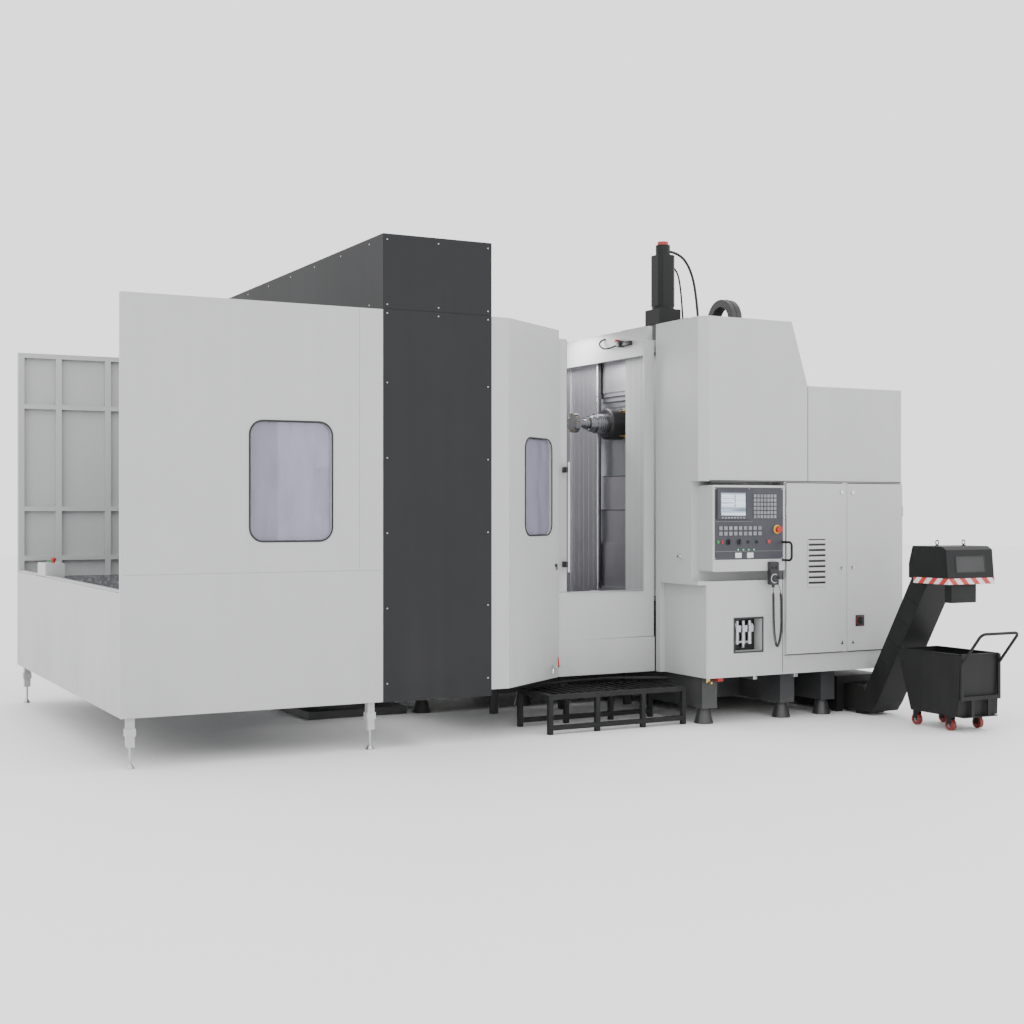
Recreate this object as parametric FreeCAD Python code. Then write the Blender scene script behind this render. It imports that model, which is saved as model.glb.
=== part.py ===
"""Horizontal machining centre with pallet changer, chip conveyor, chip cart and step. Millimetres, +Z up.

While it is drawn, X runs from the loading end to the electrical cabinet, Y runs from the operator's side to the
rear, and Z is zero on the floor. Before export everything moves so that the origin is under the middle.
"""
import FreeCAD, Part
import math
import os

V = FreeCAD.Vector

# ---- driving dimensions -------------------------------------------------------------------------
SHEET = 4.0                  # sheet metal of skins
WALL = 50.0                  # depth of a folded wall panel
SKIN_Z = 325.0               # underside of the white covers
BAY_W = 3795.0               # whole depth of the setup bay and the machine, front to rear
SETUP_L = 1795.0             # length of the setup bay
SETUP_H = 3035.0             # top of the tall setup walls
END_WALL_H = 1120.0          # top of the low end wall
TOWER_L = 840.0              # length of the dark tower
TOWER_H = 3560.0             # top of the tower
TOWER_BOX_Z = 3010.0         # underside of the tower's top box
FLAT_L = 140.0               # flat strip right of the tower
ANGLED_X = 705.0             # run of the angled cover along X
RECESS_Y = 485.0             # door plane behind the front plane
ROOM_H = 3035.0              # top of the angled cover and the door frame
BLOCK_X = 4340.0             # left face of the right block
BLOCK_Y = -185.0             # front face of the right block
BLOCK_H = 3130.0             # top of the tall part of the block
BLOCK_STEP_X = 5190.0        # where the block's roof starts to slope down
BLOCK_SLOPE = 158.0          # run of that slope
BLOCK_LOW_H = 2630.0         # top of the low part of the block
MACHINE_L = 6320.0           # right end of the machine
BLOCK_DEPTH = 640.0          # depth of the operator-side block behind its front face
NICHE_Z0, NICHE_Z1 = 1105.0, 1870.0   # console niche
NICHE_DEPTH = 150.0
CABINET_X = 5118.0           # left edge of the electrical cabinet doors
CABINET_Z0, CABINET_Z1 = 520.0, 1860.0
DOOR_SPLIT_X = 5727.0        # seam between the two cabinet doors
SPINDLE_Y, SPINDLE_Z = 1285.0, 2380.0
SPINDLE_R = 133.0            # black spindle housing
NOSE_R = 84.0
SPINDLE_TIP_X = 4205.0       # end face of the spindle nose
NOSE_L = 167.0
COVER_X = 4420.0             # first layer of the crosswise cover leaves
LAYER = 12.0                 # pitch of the leaf layers
LEAF_W = 480.0               # width of a crosswise leaf
LEAF_LAP = 20.0
LEAF_COUNT = 4
LEAF_T = LAYER - 0.6          # depth of a folded leaf
LEAF_H = 365.0               # height of an upright leaf
HEAD_PLATE = 170.0           # half height of the head's front plate
FRAME_HALF = 272.0           # half width of the column's cover frame
FRAME_Z0, FRAME_Z1 = 940.0, 3080.0
FRAME_RIM = 40.0
SWING_X, SWING_Y = 2250.0, 2000.0    # axis of the pallet changer
PALLET = 1000.0
PALLET_H = 120.0
PALLET_TOP = 1250.0
PALLET_REACH = 900.0         # changer axis to pallet centre
PARTITION_HALF = 1475.0
PARTITION_TOP = 2950.0
TABLE_R = 360.0
FORK_Y = 400.0               # inner faces of the changer forks
BED_Z0, BED_Z1 = 120.0, 760.0
TANK_Z1 = 290.0
CONVEYOR_X, CONVEYOR_W = 5900.0, 270.0
CONVEYOR_T = 170.0
CONVEYOR_ANGLE = 60.0
HOOD_X, HOOD_L = 5850.0, 470.0
CART_X, CART_W = 5837.0, 396.0
CART_Y0, CART_L = -1311.0, 625.0
CART_Z0, CART_Z1 = 118.0, 575.0
STEP_X, STEP_L = 3120.0, 1210.0
STEP_Y, STEP_W, STEP_H = 520.0, 500.0, 290.0

# ---- derived places -----------------------------------------------------------------------------
TOWER_X = SETUP_L
TOWER_X1 = TOWER_X + TOWER_L
ANGLED_X0 = TOWER_X1 + FLAT_L
OPENING_X = ANGLED_X0 + ANGLED_X
LEAF_STEP = LEAF_W - LEAF_LAP
COLUMN_TRAVEL = (LEAF_COUNT - 1) * LEAF_STEP
NEAR_LEAF_Y = SPINDLE_Y - FRAME_HALF + LEAF_LAP - LEAF_W
FAR_LEAF_Y = SPINDLE_Y + FRAME_HALF - LEAF_LAP
FRAME_X = COVER_X + (LEAF_COUNT - 1) * LAYER
UPRIGHT_X = FRAME_X + 2 * LAYER
PLATE_X = UPRIGHT_X + LEAF_COUNT * LAYER
UPPER_FIXED_Z = 3020.0 - LEAF_H
LOWER_FIXED_Z = 1000.0
UPPER_HEAD_Z = SPINDLE_Z + HEAD_PLATE - LEAF_LAP
LOWER_HEAD_Z = SPINDLE_Z - HEAD_PLATE + LEAF_LAP - LEAF_H
CONSOLE_X0, CONSOLE_X1 = BLOCK_X + 60.0, CABINET_X - 30.0
CONSOLE_Y0 = BLOCK_Y - 45.0
CONSOLE_Y1 = BLOCK_Y + NICHE_DEPTH
PANEL_Z0, PANEL_Z1 = 1330.0, NICHE_Z1 - 55.0
PALLET_Z = PALLET_TOP - PALLET_H
RAIL_H = 45.0
RIB = 60.0
BED_X1 = MACHINE_L - 580.0
BED_Y0 = BLOCK_Y + BLOCK_DEPTH + 15.0
BEAM_XS = (BLOCK_X + 150.0, BLOCK_X + 900.0, BED_X1 - 90.0)
SADDLE_Z = BED_Z1 + RAIL_H


# ---- helpers ------------------------------------------------------------------------------------
def box(x0, x1, y0, y1, z0, z1):
    """Block between two corners."""
    return Part.makeBox(x1 - x0, y1 - y0, z1 - z0, V(x0, y0, z0))


def rod(radius, start, axis, length):
    """Round bar from a start point along an axis."""
    return Part.makeCylinder(radius, length, V(*start), V(*axis))


def prism(points, direction):
    """Polygon face pushed along a direction."""
    corners = [V(*p) for p in points]
    return Part.Face(Part.makePolygon(corners + corners[:1])).extrude(V(*direction))


def fuse(*pieces):
    """One clean solid from touching pieces."""
    body = pieces[0].multiFuse(list(pieces[1:]))
    return body.removeSplitter()


def rounded(shape, radius, axis):
    """Round the edges that run along one axis of a block."""
    picked = []
    for edge in shape.Edges:
        run = edge.Vertexes[1].Point.sub(edge.Vertexes[0].Point)
        if abs(run.dot(axis)) > 0.999 * run.Length:
            picked.append(edge)
    return shape.makeFillet(radius, picked)


def window_cut(x0, x1, z0, z1, y0, y1, radius):
    """Rounded window block that runs through a wall along Y."""
    return rounded(box(x0, x1, y0, y1, z0, z1), radius, V(0, 1, 0))


def tube_path(points, radius, bend):
    """Round bar along straight runs joined by arcs of one bend radius."""
    pts = [V(*p) for p in points]
    edges = []
    start = pts[0]
    for before, corner, after in zip(pts, pts[1:], pts[2:]):
        a = (before - corner).normalize()
        b = (after - corner).normalize()
        half = a.getAngle(b) / 2
        trim = bend / math.tan(half)
        enter = corner + a * trim
        leave = corner + b * trim
        centre = corner + (a + b).normalize() * (bend / math.sin(half))
        middle = centre + (corner - centre).normalize() * bend
        edges.append(Part.LineSegment(start, enter).toShape())
        edges.append(Part.Arc(enter, middle, leave).toShape())
        start = leave
    edges.append(Part.LineSegment(start, pts[-1]).toShape())
    wire = Part.Wire(edges)
    first = (pts[1] - pts[0]).normalize()
    profile = Part.Wire([Part.makeCircle(radius, pts[0], first)])
    return wire.makePipeShell([profile], True, False)


NODES = {}


def node(name, shape):
    """Keep a piece under its node name."""
    NODES[name] = shape


# ---- bed, feet and rails ------------------------------------------------------------------------
def machine_bed():
    """Cored T-shaped bed casting with its box ways and the beams out to the front feet."""
    table_bed = box(SWING_X + 450, BLOCK_X + 300, SWING_Y - 500, SWING_Y + 500, BED_Z0, BED_Z1)
    column_bed = box(BLOCK_X + 300, BED_X1, BED_Y0, BAY_W - 300, BED_Z0, BED_Z1)
    beams = []
    for x in BEAM_XS:
        beams.append(box(x - 70, x + 70, BLOCK_Y + 120, BAY_W - 200, BED_Z0, SKIN_Z + 40))
    cores = []
    core_l = (BLOCK_X - 150 - SWING_X) / 5
    for i in range(5):
        x = SWING_X + 450 + RIB + i * core_l
        for y in (SWING_Y - 500 + RIB, SWING_Y + RIB / 2):
            cores.append(box(x, x + core_l - RIB, y, y + 500 - 1.5 * RIB, BED_Z0 - 1, BED_Z1 - RIB))
    for y in (BED_Y0 + RIB, BED_Y0 + 780, BED_Y0 + 1500, BED_Y0 + 2220):
        cores.append(box(BLOCK_X + 300 + RIB, BED_X1 - RIB, y, y + 640, BED_Z0 - 1, BED_Z1 - RIB))
    ways = []
    for side in (-1, 1):
        y = SWING_Y + side * 330
        ways.append(box(SWING_X + 500, BLOCK_X - 20, y - 25, y + 25, BED_Z1, SADDLE_Z))
    for x in (PLATE_X + 450, PLATE_X + 1150):
        ways.append(box(x - 30, x + 30, BED_Y0 + 20, BAY_W - 340, BED_Z1, SADDLE_Z))
    body = fuse(table_bed, column_bed).cut(Part.makeCompound(cores))
    return fuse(body, *beams, *ways)


def levelling_feet():
    """Cone pads under the bed and threaded feet under the setup bay."""
    feet = []
    for x in BEAM_XS:
        for y in (BLOCK_Y + 200, SWING_Y, BAY_W - 300):
            feet.append(Part.makeCone(75, 45, BED_Z0, V(x, y, 0)))
    for x in (SWING_X + 560, SWING_X + 1500):
        for y in (SWING_Y - 400, SWING_Y + 400):
            feet.append(Part.makeCone(75, 45, BED_Z0, V(x, y, 0)))
    for x, y in LEG_SPOTS:
        stud = rod(9, (x, y, 12), (0, 0, 1), SKIN_Z - 132)
        feet.append(fuse(Part.makeCone(30, 14, 26, V(x, y, 0)), stud))
    return Part.makeCompound(feet)


LEG_SPOTS = [(70, 60), (SETUP_L - 75, 60), (70, BAY_W - 60), (SETUP_L - 75, BAY_W - 60)]


def leg_posts():
    """Square tube legs with a clamp block at the foot."""
    posts = []
    for x, y in LEG_SPOTS:
        tube = box(x - 25, x + 25, y - 25, y + 25, SKIN_Z - 190, SKIN_Z)
        block = box(x - 32, x + 32, y - 32, y + 32, SKIN_Z - 120, SKIN_Z - 70)
        posts.append(fuse(tube, block).cut(rod(9.5, (x, y, 0), (0, 0, 1), SKIN_Z - 115)))
    return Part.makeCompound(posts)


# ---- setup bay ----------------------------------------------------------------------------------
WINDOW_X0, WINDOW_X1 = 845.0, 1420.0
WINDOW_Z0, WINDOW_Z1 = 1443.0, 2240.0
WINDOW_R = 90.0


def setup_front_wall():
    """Tall folded front panel with a rounded window, hollow behind a return flange."""
    skin = box(0, SETUP_L, 0, WALL, SKIN_Z, SETUP_H)
    hollow = box(SHEET, SETUP_L - SHEET, SHEET, WALL, SKIN_Z + SHEET, SETUP_H - SHEET)
    frame = box(WINDOW_X0 - 40, WINDOW_X1 + 40, SHEET, WALL, WINDOW_Z0 - 40, WINDOW_Z1 + 40)
    rib = box(SHEET, SETUP_L - SHEET, SHEET, WALL, 1215, 1250)
    body = fuse(skin.cut(hollow), frame, rib)
    return body.cut(window_cut(WINDOW_X0, WINDOW_X1, WINDOW_Z0, WINDOW_Z1, -1, WALL + 1, WINDOW_R))


def setup_end_wall():
    """Low end wall with a top rail and the welded box of the loading station's buttons."""
    skin = box(0, WALL, WALL, BAY_W - WALL, SKIN_Z, END_WALL_H)
    hollow = box(SHEET, WALL, WALL + SHEET, BAY_W - WALL - SHEET, SKIN_Z + SHEET, END_WALL_H - 40)
    button_box = box(5, 155, 2550, 2880, END_WALL_H - 1, END_WALL_H + 110)
    return fuse(skin.cut(hollow), rounded(button_box, 12, V(0, 1, 0)))


def setup_rear_wall():
    """Tall rear wall: posts and rails in front of a sheet, with a service slot low down."""
    y0, y1 = BAY_W - WALL, BAY_W
    pieces = [box(0, SETUP_L, y1 - SHEET, y1, SKIN_Z, SETUP_H - 38)]
    for x in (0, 313, 734, 1200, SETUP_L - 50):
        pieces.append(box(x, x + 50, y0, y1, SKIN_Z, SETUP_H - 38))
    for z in (SKIN_Z, 1215, 1641, 2520, SETUP_H - 78):
        pieces.append(box(0, SETUP_L, y0, y1, z, z + 40))
    return fuse(*pieces)


def setup_floor():
    """Chip tray under the setup pallet: sloped edges round a flat middle."""
    x0, x1 = WALL, TOWER_X
    y0, y1 = WALL, BAY_W - WALL
    z = 930.0
    top = END_WALL_H - 40
    flat = box(x0 + 260, x1 + 150, y0 + 260, y1 - 260, z - SHEET, z)
    left = prism([(x0, y0, top), (x0 + 264, y0, z), (x0 + 264, y0, z - SHEET), (x0, y0, top - SHEET)],
                 (0, y1 - y0, 0))
    front = prism([(x0, y0, top), (x0, y0 + 264, z), (x0, y0 + 264, z - SHEET), (x0, y0, top - SHEET)],
                  (x1 - x0, 0, 0))
    rear = prism([(x0, y1, top), (x0, y1 - 264, z), (x0, y1 - 264, z - SHEET), (x0, y1, top - SHEET)],
                 (x1 - x0, 0, 0))
    return fuse(flat, left, front, rear)


def shutter_tower():
    """Dark portal round the swinging partition: two side boxes and a deep top box."""
    x0, x1 = TOWER_X, TOWER_X1
    sides = []
    for y0, y1 in ((0, 60), (BAY_W - 60, BAY_W)):
        sides.append(box(x0, x1, y0, y1, SKIN_Z - 5, TOWER_H))
    top = box(x0, x1, 0, BAY_W, TOWER_BOX_Z, TOWER_H)
    inside = box(x0 + SHEET, x1 - SHEET, SHEET, BAY_W - SHEET, TOWER_BOX_Z + SHEET, TOWER_H - SHEET)
    swing = PARTITION_HALF + 12
    front_jamb = box(SWING_X - 20, SWING_X + 20, 50, SWING_Y - swing, SKIN_Z, TOWER_BOX_Z + 10)
    rear_jamb = box(SWING_X - 20, SWING_X + 20, SWING_Y + swing, BAY_W - 50, SKIN_Z, TOWER_BOX_Z + 10)
    return fuse(sides[0], sides[1], top, front_jamb, rear_jamb).cut(inside)


# ---- pallet changer -----------------------------------------------------------------------------
HUB_R = 260.0
LIFT_R = 150.0
LIFT_Z = 700.0               # underside of the lift's flange while the pallets are raised
LIFT = 80.0                  # way down to where the pallet seats on the table
FIT = 0.05                   # radial running clearance


def changer_pedestal():
    """Cast pedestal with a foot flange and the bore of the lift column."""
    foot = box(SWING_X - 420, SWING_X + 420, SWING_Y - 420, SWING_Y + 420, 0, 60)
    stem = Part.makeCone(330, 250, LIFT_Z - LIFT - 60, V(SWING_X, SWING_Y, 60))
    bore = rod(LIFT_R + FIT, (SWING_X, SWING_Y, 200), (0, 0, 1), LIFT_Z)
    return fuse(foot, stem).cut(bore)


def lift_column():
    """Round column that lifts the changer: it slides in the pedestal and carries the hub on its flange."""
    shaft = rod(LIFT_R, (SWING_X, SWING_Y, 300), (0, 0, 1), 600)
    flange = rod(HUB_R, (SWING_X, SWING_Y, LIFT_Z + 0.3), (0, 0, 1), 60)
    return fuse(shaft, flange)


def changer_hub():
    """Swing hub with its fork arms and the cross beam under the partition."""
    z0 = LIFT_Z + 60.6
    hub = rod(HUB_R, (SWING_X, SWING_Y, z0), (0, 0, 1), 1030 - z0)
    hub = hub.cut(rod(LIFT_R + FIT, (SWING_X, SWING_Y, z0 - 1), (0, 0, 1), 905 - z0))
    beam = box(SWING_X - 90, SWING_X + 90, SWING_Y - 490, SWING_Y + 490, 1030, 1090)
    reach = PALLET_REACH + 350
    forks = []
    for side in (-1, 1):
        y0 = SWING_Y + side * FORK_Y
        y1 = SWING_Y + side * (FORK_Y + 90)
        forks.append(box(SWING_X - reach, SWING_X + reach, min(y0, y1), max(y0, y1), 1050, PALLET_Z))
    return fuse(hub, beam, forks[0], forks[1])


def changer_partition():
    """Framed partition sheet that stands on the hub's beam between the forks."""
    y0, y1 = SWING_Y - PARTITION_HALF, SWING_Y + PARTITION_HALF
    z0 = PALLET_TOP + 20
    leaf = box(SWING_X - 25, SWING_X + 25, y0, y1, z0, PARTITION_TOP)
    foot = box(SWING_X - 60, SWING_X + 60, SWING_Y - 380, SWING_Y + 380, 1090, z0)
    sight = window_cut(0, 800, 1560, 2010, 0, 120, 90)
    sight.rotate(V(0, 0, 0), V(0, 0, 1), 90)
    sight.translate(V(SWING_X + 60, SWING_Y - 250, 0))
    return fuse(leaf, foot).cut(sight)


def pallet(centre_x):
    """Machining pallet: chamfered block with a grid of tapped holes and location bores."""
    half = PALLET / 2
    body = box(centre_x - half, centre_x + half, SWING_Y - half, SWING_Y + half, PALLET_Z, PALLET_TOP)
    upright = []
    for edge in body.Edges:
        if abs(edge.tangentAt(edge.FirstParameter).z) > 0.99:
            upright.append(edge)
    body = body.makeChamfer(60, upright)
    holes = []
    for row in range(5):
        for column in range(5):
            x = centre_x - 400 + row * 200
            y = SWING_Y - 400 + column * 200
            holes.append(rod(10, (x, y, PALLET_TOP - 40), (0, 0, 1), 41))
    return body.cut(Part.makeCompound(holes))


# ---- table --------------------------------------------------------------------------------------
TABLE_X = SWING_X + PALLET_REACH


def table_saddle():
    """Saddle on four carriages, with a round seat for the rotary table."""
    base = box(TABLE_X - 480, TABLE_X + 480, SWING_Y - 390, SWING_Y + 390, SADDLE_Z + 20, SADDLE_Z + 130)
    seat = rod(TABLE_R + 20, (TABLE_X, SWING_Y, SADDLE_Z + 130), (0, 0, 1), 40)
    blocks = []
    for side in (-1, 1):
        for x in (TABLE_X - 330, TABLE_X + 330):
            y = SWING_Y + side * 330
            blocks.append(box(x - 90, x + 90, y - 45, y + 45, SADDLE_Z + 0.3, SADDLE_Z + 20))
    return fuse(base, seat, *blocks)


def rotary_table():
    """Round table top that carries the pallet on its cone seats."""
    z0 = SADDLE_Z + 170.3
    top = rod(TABLE_R, (TABLE_X, SWING_Y, z0), (0, 0, 1), PALLET_Z - LIFT - 0.5 - z0)
    groove = rod(TABLE_R + 1, (TABLE_X, SWING_Y, z0 + 25), (0, 0, 1), 16)
    core = rod(TABLE_R - 12, (TABLE_X, SWING_Y, z0 + 20), (0, 0, 1), 30)
    return top.cut(groove.cut(core))


# ---- machining room -----------------------------------------------------------------------------
PANE = 6.0


def angled_point(share, inset):
    """A point along the angled cover, a distance behind its outer face."""
    length = math.hypot(ANGLED_X, RECESS_Y)
    x = ANGLED_X0 + share * ANGLED_X - inset * RECESS_Y / length
    y = share * RECESS_Y + inset * ANGLED_X / length
    return x, y


def angled_slab(share0, share1, inset0, inset1, z0, z1):
    """Upright slab that follows the angled cover."""
    corners = [angled_point(share0, inset0), angled_point(share1, inset0),
               angled_point(share1, inset1), angled_point(share0, inset1)]
    return prism([(x, y, z0) for x, y in corners], (0, 0, z1 - z0))


ANGLED_WINDOW_Z0, ANGLED_WINDOW_Z1 = 1460.0, 2185.0
ANGLED_SHARES = (0.30, 0.82)


def angled_cover():
    """Flat strip, then the angled panel with its tall rounded window."""
    strip = box(TOWER_X1, ANGLED_X0, 0, 40, SKIN_Z + 40, ROOM_H)
    panel = angled_slab(0, 0.97, 0, 40, SKIN_Z + 40, ROOM_H)
    corner = box(ANGLED_X0 - 30, ANGLED_X0, 0, 32, SKIN_Z + 40, ROOM_H)
    opening = angled_slab(ANGLED_SHARES[0], ANGLED_SHARES[1], -5, 45, ANGLED_WINDOW_Z0, ANGLED_WINDOW_Z1)
    upright = []
    for edge in opening.Edges:
        run = edge.Vertexes[1].Point.sub(edge.Vertexes[0].Point)
        if abs(run.z) < 1 and abs(run.Length - 50) < 2:
            upright.append(edge)
    return fuse(strip, corner, panel).cut(opening.makeFillet(85, upright))


def fixed_windows():
    """Panes of the setup wall and the angled cover, set in their frames."""
    front = window_cut(WINDOW_X0 + 0.4, WINDOW_X1 - 0.4, WINDOW_Z0 + 0.4, WINDOW_Z1 - 0.4,
                       22, 22 + PANE, WINDOW_R)
    side = angled_slab(ANGLED_SHARES[0] + 0.002, ANGLED_SHARES[1] - 0.002, 18, 18 + PANE,
                       ANGLED_WINDOW_Z0 + 1, ANGLED_WINDOW_Z1 - 1)
    return Part.makeCompound([front, side.common(angled_window_plug())])


def angled_window_plug():
    """Rounded plug of the angled window, a little smaller than its opening."""
    plug = angled_slab(ANGLED_SHARES[0] + 0.0005, ANGLED_SHARES[1] - 0.0005, -5, 45,
                       ANGLED_WINDOW_Z0 + 0.4, ANGLED_WINDOW_Z1 - 0.4)
    picked = []
    for edge in plug.Edges:
        run = edge.Vertexes[1].Point.sub(edge.Vertexes[0].Point)
        if abs(run.z) < 1 and abs(run.Length - 50) < 2:
            picked.append(edge)
    return plug.makeFillet(85, picked)


SILL_Z = 1010.0
DOOR_Y0 = RECESS_Y + 25.0
DOOR_T = 40.0
DOOR_L = 860.0
DOOR_TRAVEL = 703.0
DOOR_X1 = OPENING_X + 70.0
DOOR_X0 = DOOR_X1 - DOOR_L
POST_W = 90.0


def door_frame():
    """Sill box under the door and the post at its closing side."""
    sill = box(OPENING_X - 30, BLOCK_X, RECESS_Y, RECESS_Y + 20, SKIN_Z + 40, SILL_Z)
    ledge = box(OPENING_X - 30, BLOCK_X, RECESS_Y, RECESS_Y + 110, SILL_Z - 30, SILL_Z)
    apron = box(OPENING_X - 20, BLOCK_X, RECESS_Y - 12, RECESS_Y, SKIN_Z + 40, 640)
    post = box(BLOCK_X - POST_W, BLOCK_X, RECESS_Y, RECESS_Y + 20, SILL_Z, ROOM_H - 30)
    rear_post = box(BLOCK_X - 40, BLOCK_X, RECESS_Y + 20, RECESS_Y + 80, SILL_Z, ROOM_H - 30)
    guide = box(DOOR_X0 - 40, OPENING_X - 30, RECESS_Y + 20, RECESS_Y + 110, SILL_Z - 30, SILL_Z)
    return fuse(sill, ledge, apron, post, rear_post, guide)


def sliding_door():
    """Door leaf with a rounded window, hung just above the sill ledge."""
    leaf = box(DOOR_X0, DOOR_X1, DOOR_Y0, DOOR_Y0 + DOOR_T, SILL_Z + 0.5, ROOM_H - 60)
    sight = window_cut(DOOR_X0 + 210, DOOR_X1 - 230, 1460, 2185, DOOR_Y0 - 1, DOOR_Y0 + DOOR_T + 1, 80)
    return leaf.cut(sight)


def door_window():
    """Laminated pane in the sliding door."""
    return window_cut(DOOR_X0 + 211, DOOR_X1 - 231, 1461, 2184, DOOR_Y0 + 18, DOOR_Y0 + 18 + PANE, 79)


HANDLE_Z0, HANDLE_Z1 = 1170.0, 2020.0


def door_handle():
    """Long bar on two brackets at the door's leading edge."""
    x = DOOR_X1 - 16
    y = DOOR_Y0 - 60
    bar = rod(12, (x, y, HANDLE_Z0), (0, 0, 1), HANDLE_Z1 - HANDLE_Z0)
    arms = []
    for z in (HANDLE_Z0 + 60, HANDLE_Z1 - 60):
        arms.append(box(x - 10, x + 10, y, DOOR_Y0, z - 14, z + 14))
    return fuse(bar, arms[0], arms[1])


def spindle_room_wall():
    """Wall beside the machining room with the big opening for the column's covers and the fixed leaves."""
    y1 = BAY_W - 60
    wall = box(BLOCK_X, BLOCK_X + 40, RECESS_Y + 85, y1, SKIN_Z + 40, BLOCK_H)
    opening_y0 = NEAR_LEAF_Y + 40
    opening_y1 = FAR_LEAF_Y + COLUMN_TRAVEL + LEAF_W - 40
    wall = wall.cut(box(BLOCK_X - 1, BLOCK_X + 41, opening_y0, opening_y1, 960, 2900))
    wall = wall.cut(box(BLOCK_X - 1, BLOCK_X + 41, SWING_Y - 505, SWING_Y + 505, 0, 961))
    pieces = [wall]
    for y in (NEAR_LEAF_Y, FAR_LEAF_Y + COLUMN_TRAVEL):
        pieces.append(leaf_sheet(COVER_X, y, 920, 2960))
        for z0 in (920, 2920):
            far_side = y > SPINDLE_Y
            edge = y + LEAF_W if far_side else y
            inner = edge - 45 if far_side else edge + 45
            low, high = min(edge, inner), max(edge, inner)
            pieces.append(box(BLOCK_X + 40, COVER_X, low, high, z0, z0 + 40))
    return fuse(*pieces)


def leaf_sheet(x, y, z0, z1):
    """One crosswise cover leaf with shallow upright folds."""
    sheet = box(x, x + LEAF_T, y, y + LEAF_W, z0, z1)
    folds = []
    count = 6
    for i in range(1, count):
        fold_y = y + LEAF_W * i / count
        folds.append(box(x - 1, x + 1.2, fold_y - 3, fold_y + 3, z0 - 1, z1 + 1))
    return sheet.cut(Part.makeCompound(folds))


def cross_leaves(order):
    """The near and the far leaf that move together by order/3 of the column's travel."""
    share = order / (LEAF_COUNT - 1)
    x = COVER_X + order * LAYER
    far_y = FAR_LEAF_Y + COLUMN_TRAVEL * (1 - share)
    near = leaf_sheet(x, NEAR_LEAF_Y, 925, 2955)
    far = leaf_sheet(x, far_y, 925, 2955)
    return Part.makeCompound([near, far])


def upright_leaves(order):
    """The upper and the lower leaf that move together by order/3 of the head's travel."""
    share = order / (LEAF_COUNT - 1)
    x = UPRIGHT_X + order * LAYER
    y0, y1 = SPINDLE_Y - FRAME_HALF + 12.5, SPINDLE_Y + FRAME_HALF - 12.5
    sheets = []
    for fixed, head in ((UPPER_FIXED_Z, UPPER_HEAD_Z), (LOWER_FIXED_Z, LOWER_HEAD_Z)):
        z = fixed + (head - fixed) * share
        sheets.append(box(x, x + LEAF_T, y0, y1, z, z + LEAF_H))
    return sheets


# ---- column and spindle -------------------------------------------------------------------------
COLUMN_X0 = PLATE_X + 330.0
COLUMN_X1 = PLATE_X + 1320.0
COLUMN_HALF = 520.0
COLUMN_TOP = 3250.0
MAGAZINE_X = COLUMN_X0 + 200.0


def column():
    """Portal column: two legs, a foot on four carriages and a head beam, open in the middle."""
    body = box(COLUMN_X0, COLUMN_X1, SPINDLE_Y - COLUMN_HALF, SPINDLE_Y + COLUMN_HALF,
               SADDLE_Z + 20, COLUMN_TOP)
    slot = box(COLUMN_X0 - 1, COLUMN_X1 - 220, SPINDLE_Y - 300, SPINDLE_Y + 300,
               SADDLE_Z + 260, COLUMN_TOP - 180)
    body = body.cut(slot)
    blocks = []
    for x in (PLATE_X + 450, PLATE_X + 1150):
        for side in (-1, 1):
            y = SPINDLE_Y + side * (COLUMN_HALF - 160)
            blocks.append(box(x - 60, x + 60, y - 110, y + 110, SADDLE_Z + 0.3, SADDLE_Z + 20))
    return fuse(body, *blocks)


def column_frame():
    """Cover frame on the column: rims, guide strips, its crosswise leaves and the fixed upright leaves."""
    y0, y1 = SPINDLE_Y - FRAME_HALF, SPINDLE_Y + FRAME_HALF
    x0 = FRAME_X + 6
    depth = COLUMN_X0
    near_rim = box(x0, depth, y0, y0 + 12, FRAME_Z0, FRAME_Z1)
    far_rim = box(x0, depth, y1 - 12, y1, FRAME_Z0, FRAME_Z1)
    near_lip = box(x0, x0 + 10, y0, y0 + FRAME_RIM, FRAME_Z0, FRAME_Z1)
    far_lip = box(x0, x0 + 10, y1 - FRAME_RIM, y1, FRAME_Z0, FRAME_Z1)
    top = box(x0, x0 + 12, y0, y1, 3025, FRAME_Z1)
    foot = box(x0, x0 + 12, y0, y1, FRAME_Z0, 995)
    near_leaf = leaf_sheet(FRAME_X, NEAR_LEAF_Y, 925, 2955)
    far_leaf = leaf_sheet(FRAME_X, FAR_LEAF_Y, 925, 2955)
    near_tie = box(FRAME_X + 3, x0 + 2, y0, y0 + LEAF_LAP - 2, 960, 2940)
    far_tie = box(FRAME_X + 3, x0 + 2, y1 - LEAF_LAP + 2, y1, 960, 2940)
    upper, lower = upright_leaves(0)
    upper_tie = box(x0 + 10, UPRIGHT_X + 1, y0 + 5, y1 - 5, 3026, 3040)
    upper_strip = box(UPRIGHT_X, UPRIGHT_X + 4, y0 + 5, y1 - 5, 3000, 3040)
    lower_tie = box(x0 + 10, UPRIGHT_X + 1, y0 + 5, y1 - 5, 975, 990)
    lower_strip = box(UPRIGHT_X, UPRIGHT_X + 4, y0 + 5, y1 - 5, 975, 1010)
    return fuse(near_rim, far_rim, near_lip, far_lip, top, foot, near_leaf, far_leaf, near_tie, far_tie,
                upper, lower, upper_tie, upper_strip, lower_tie, lower_strip)


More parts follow.
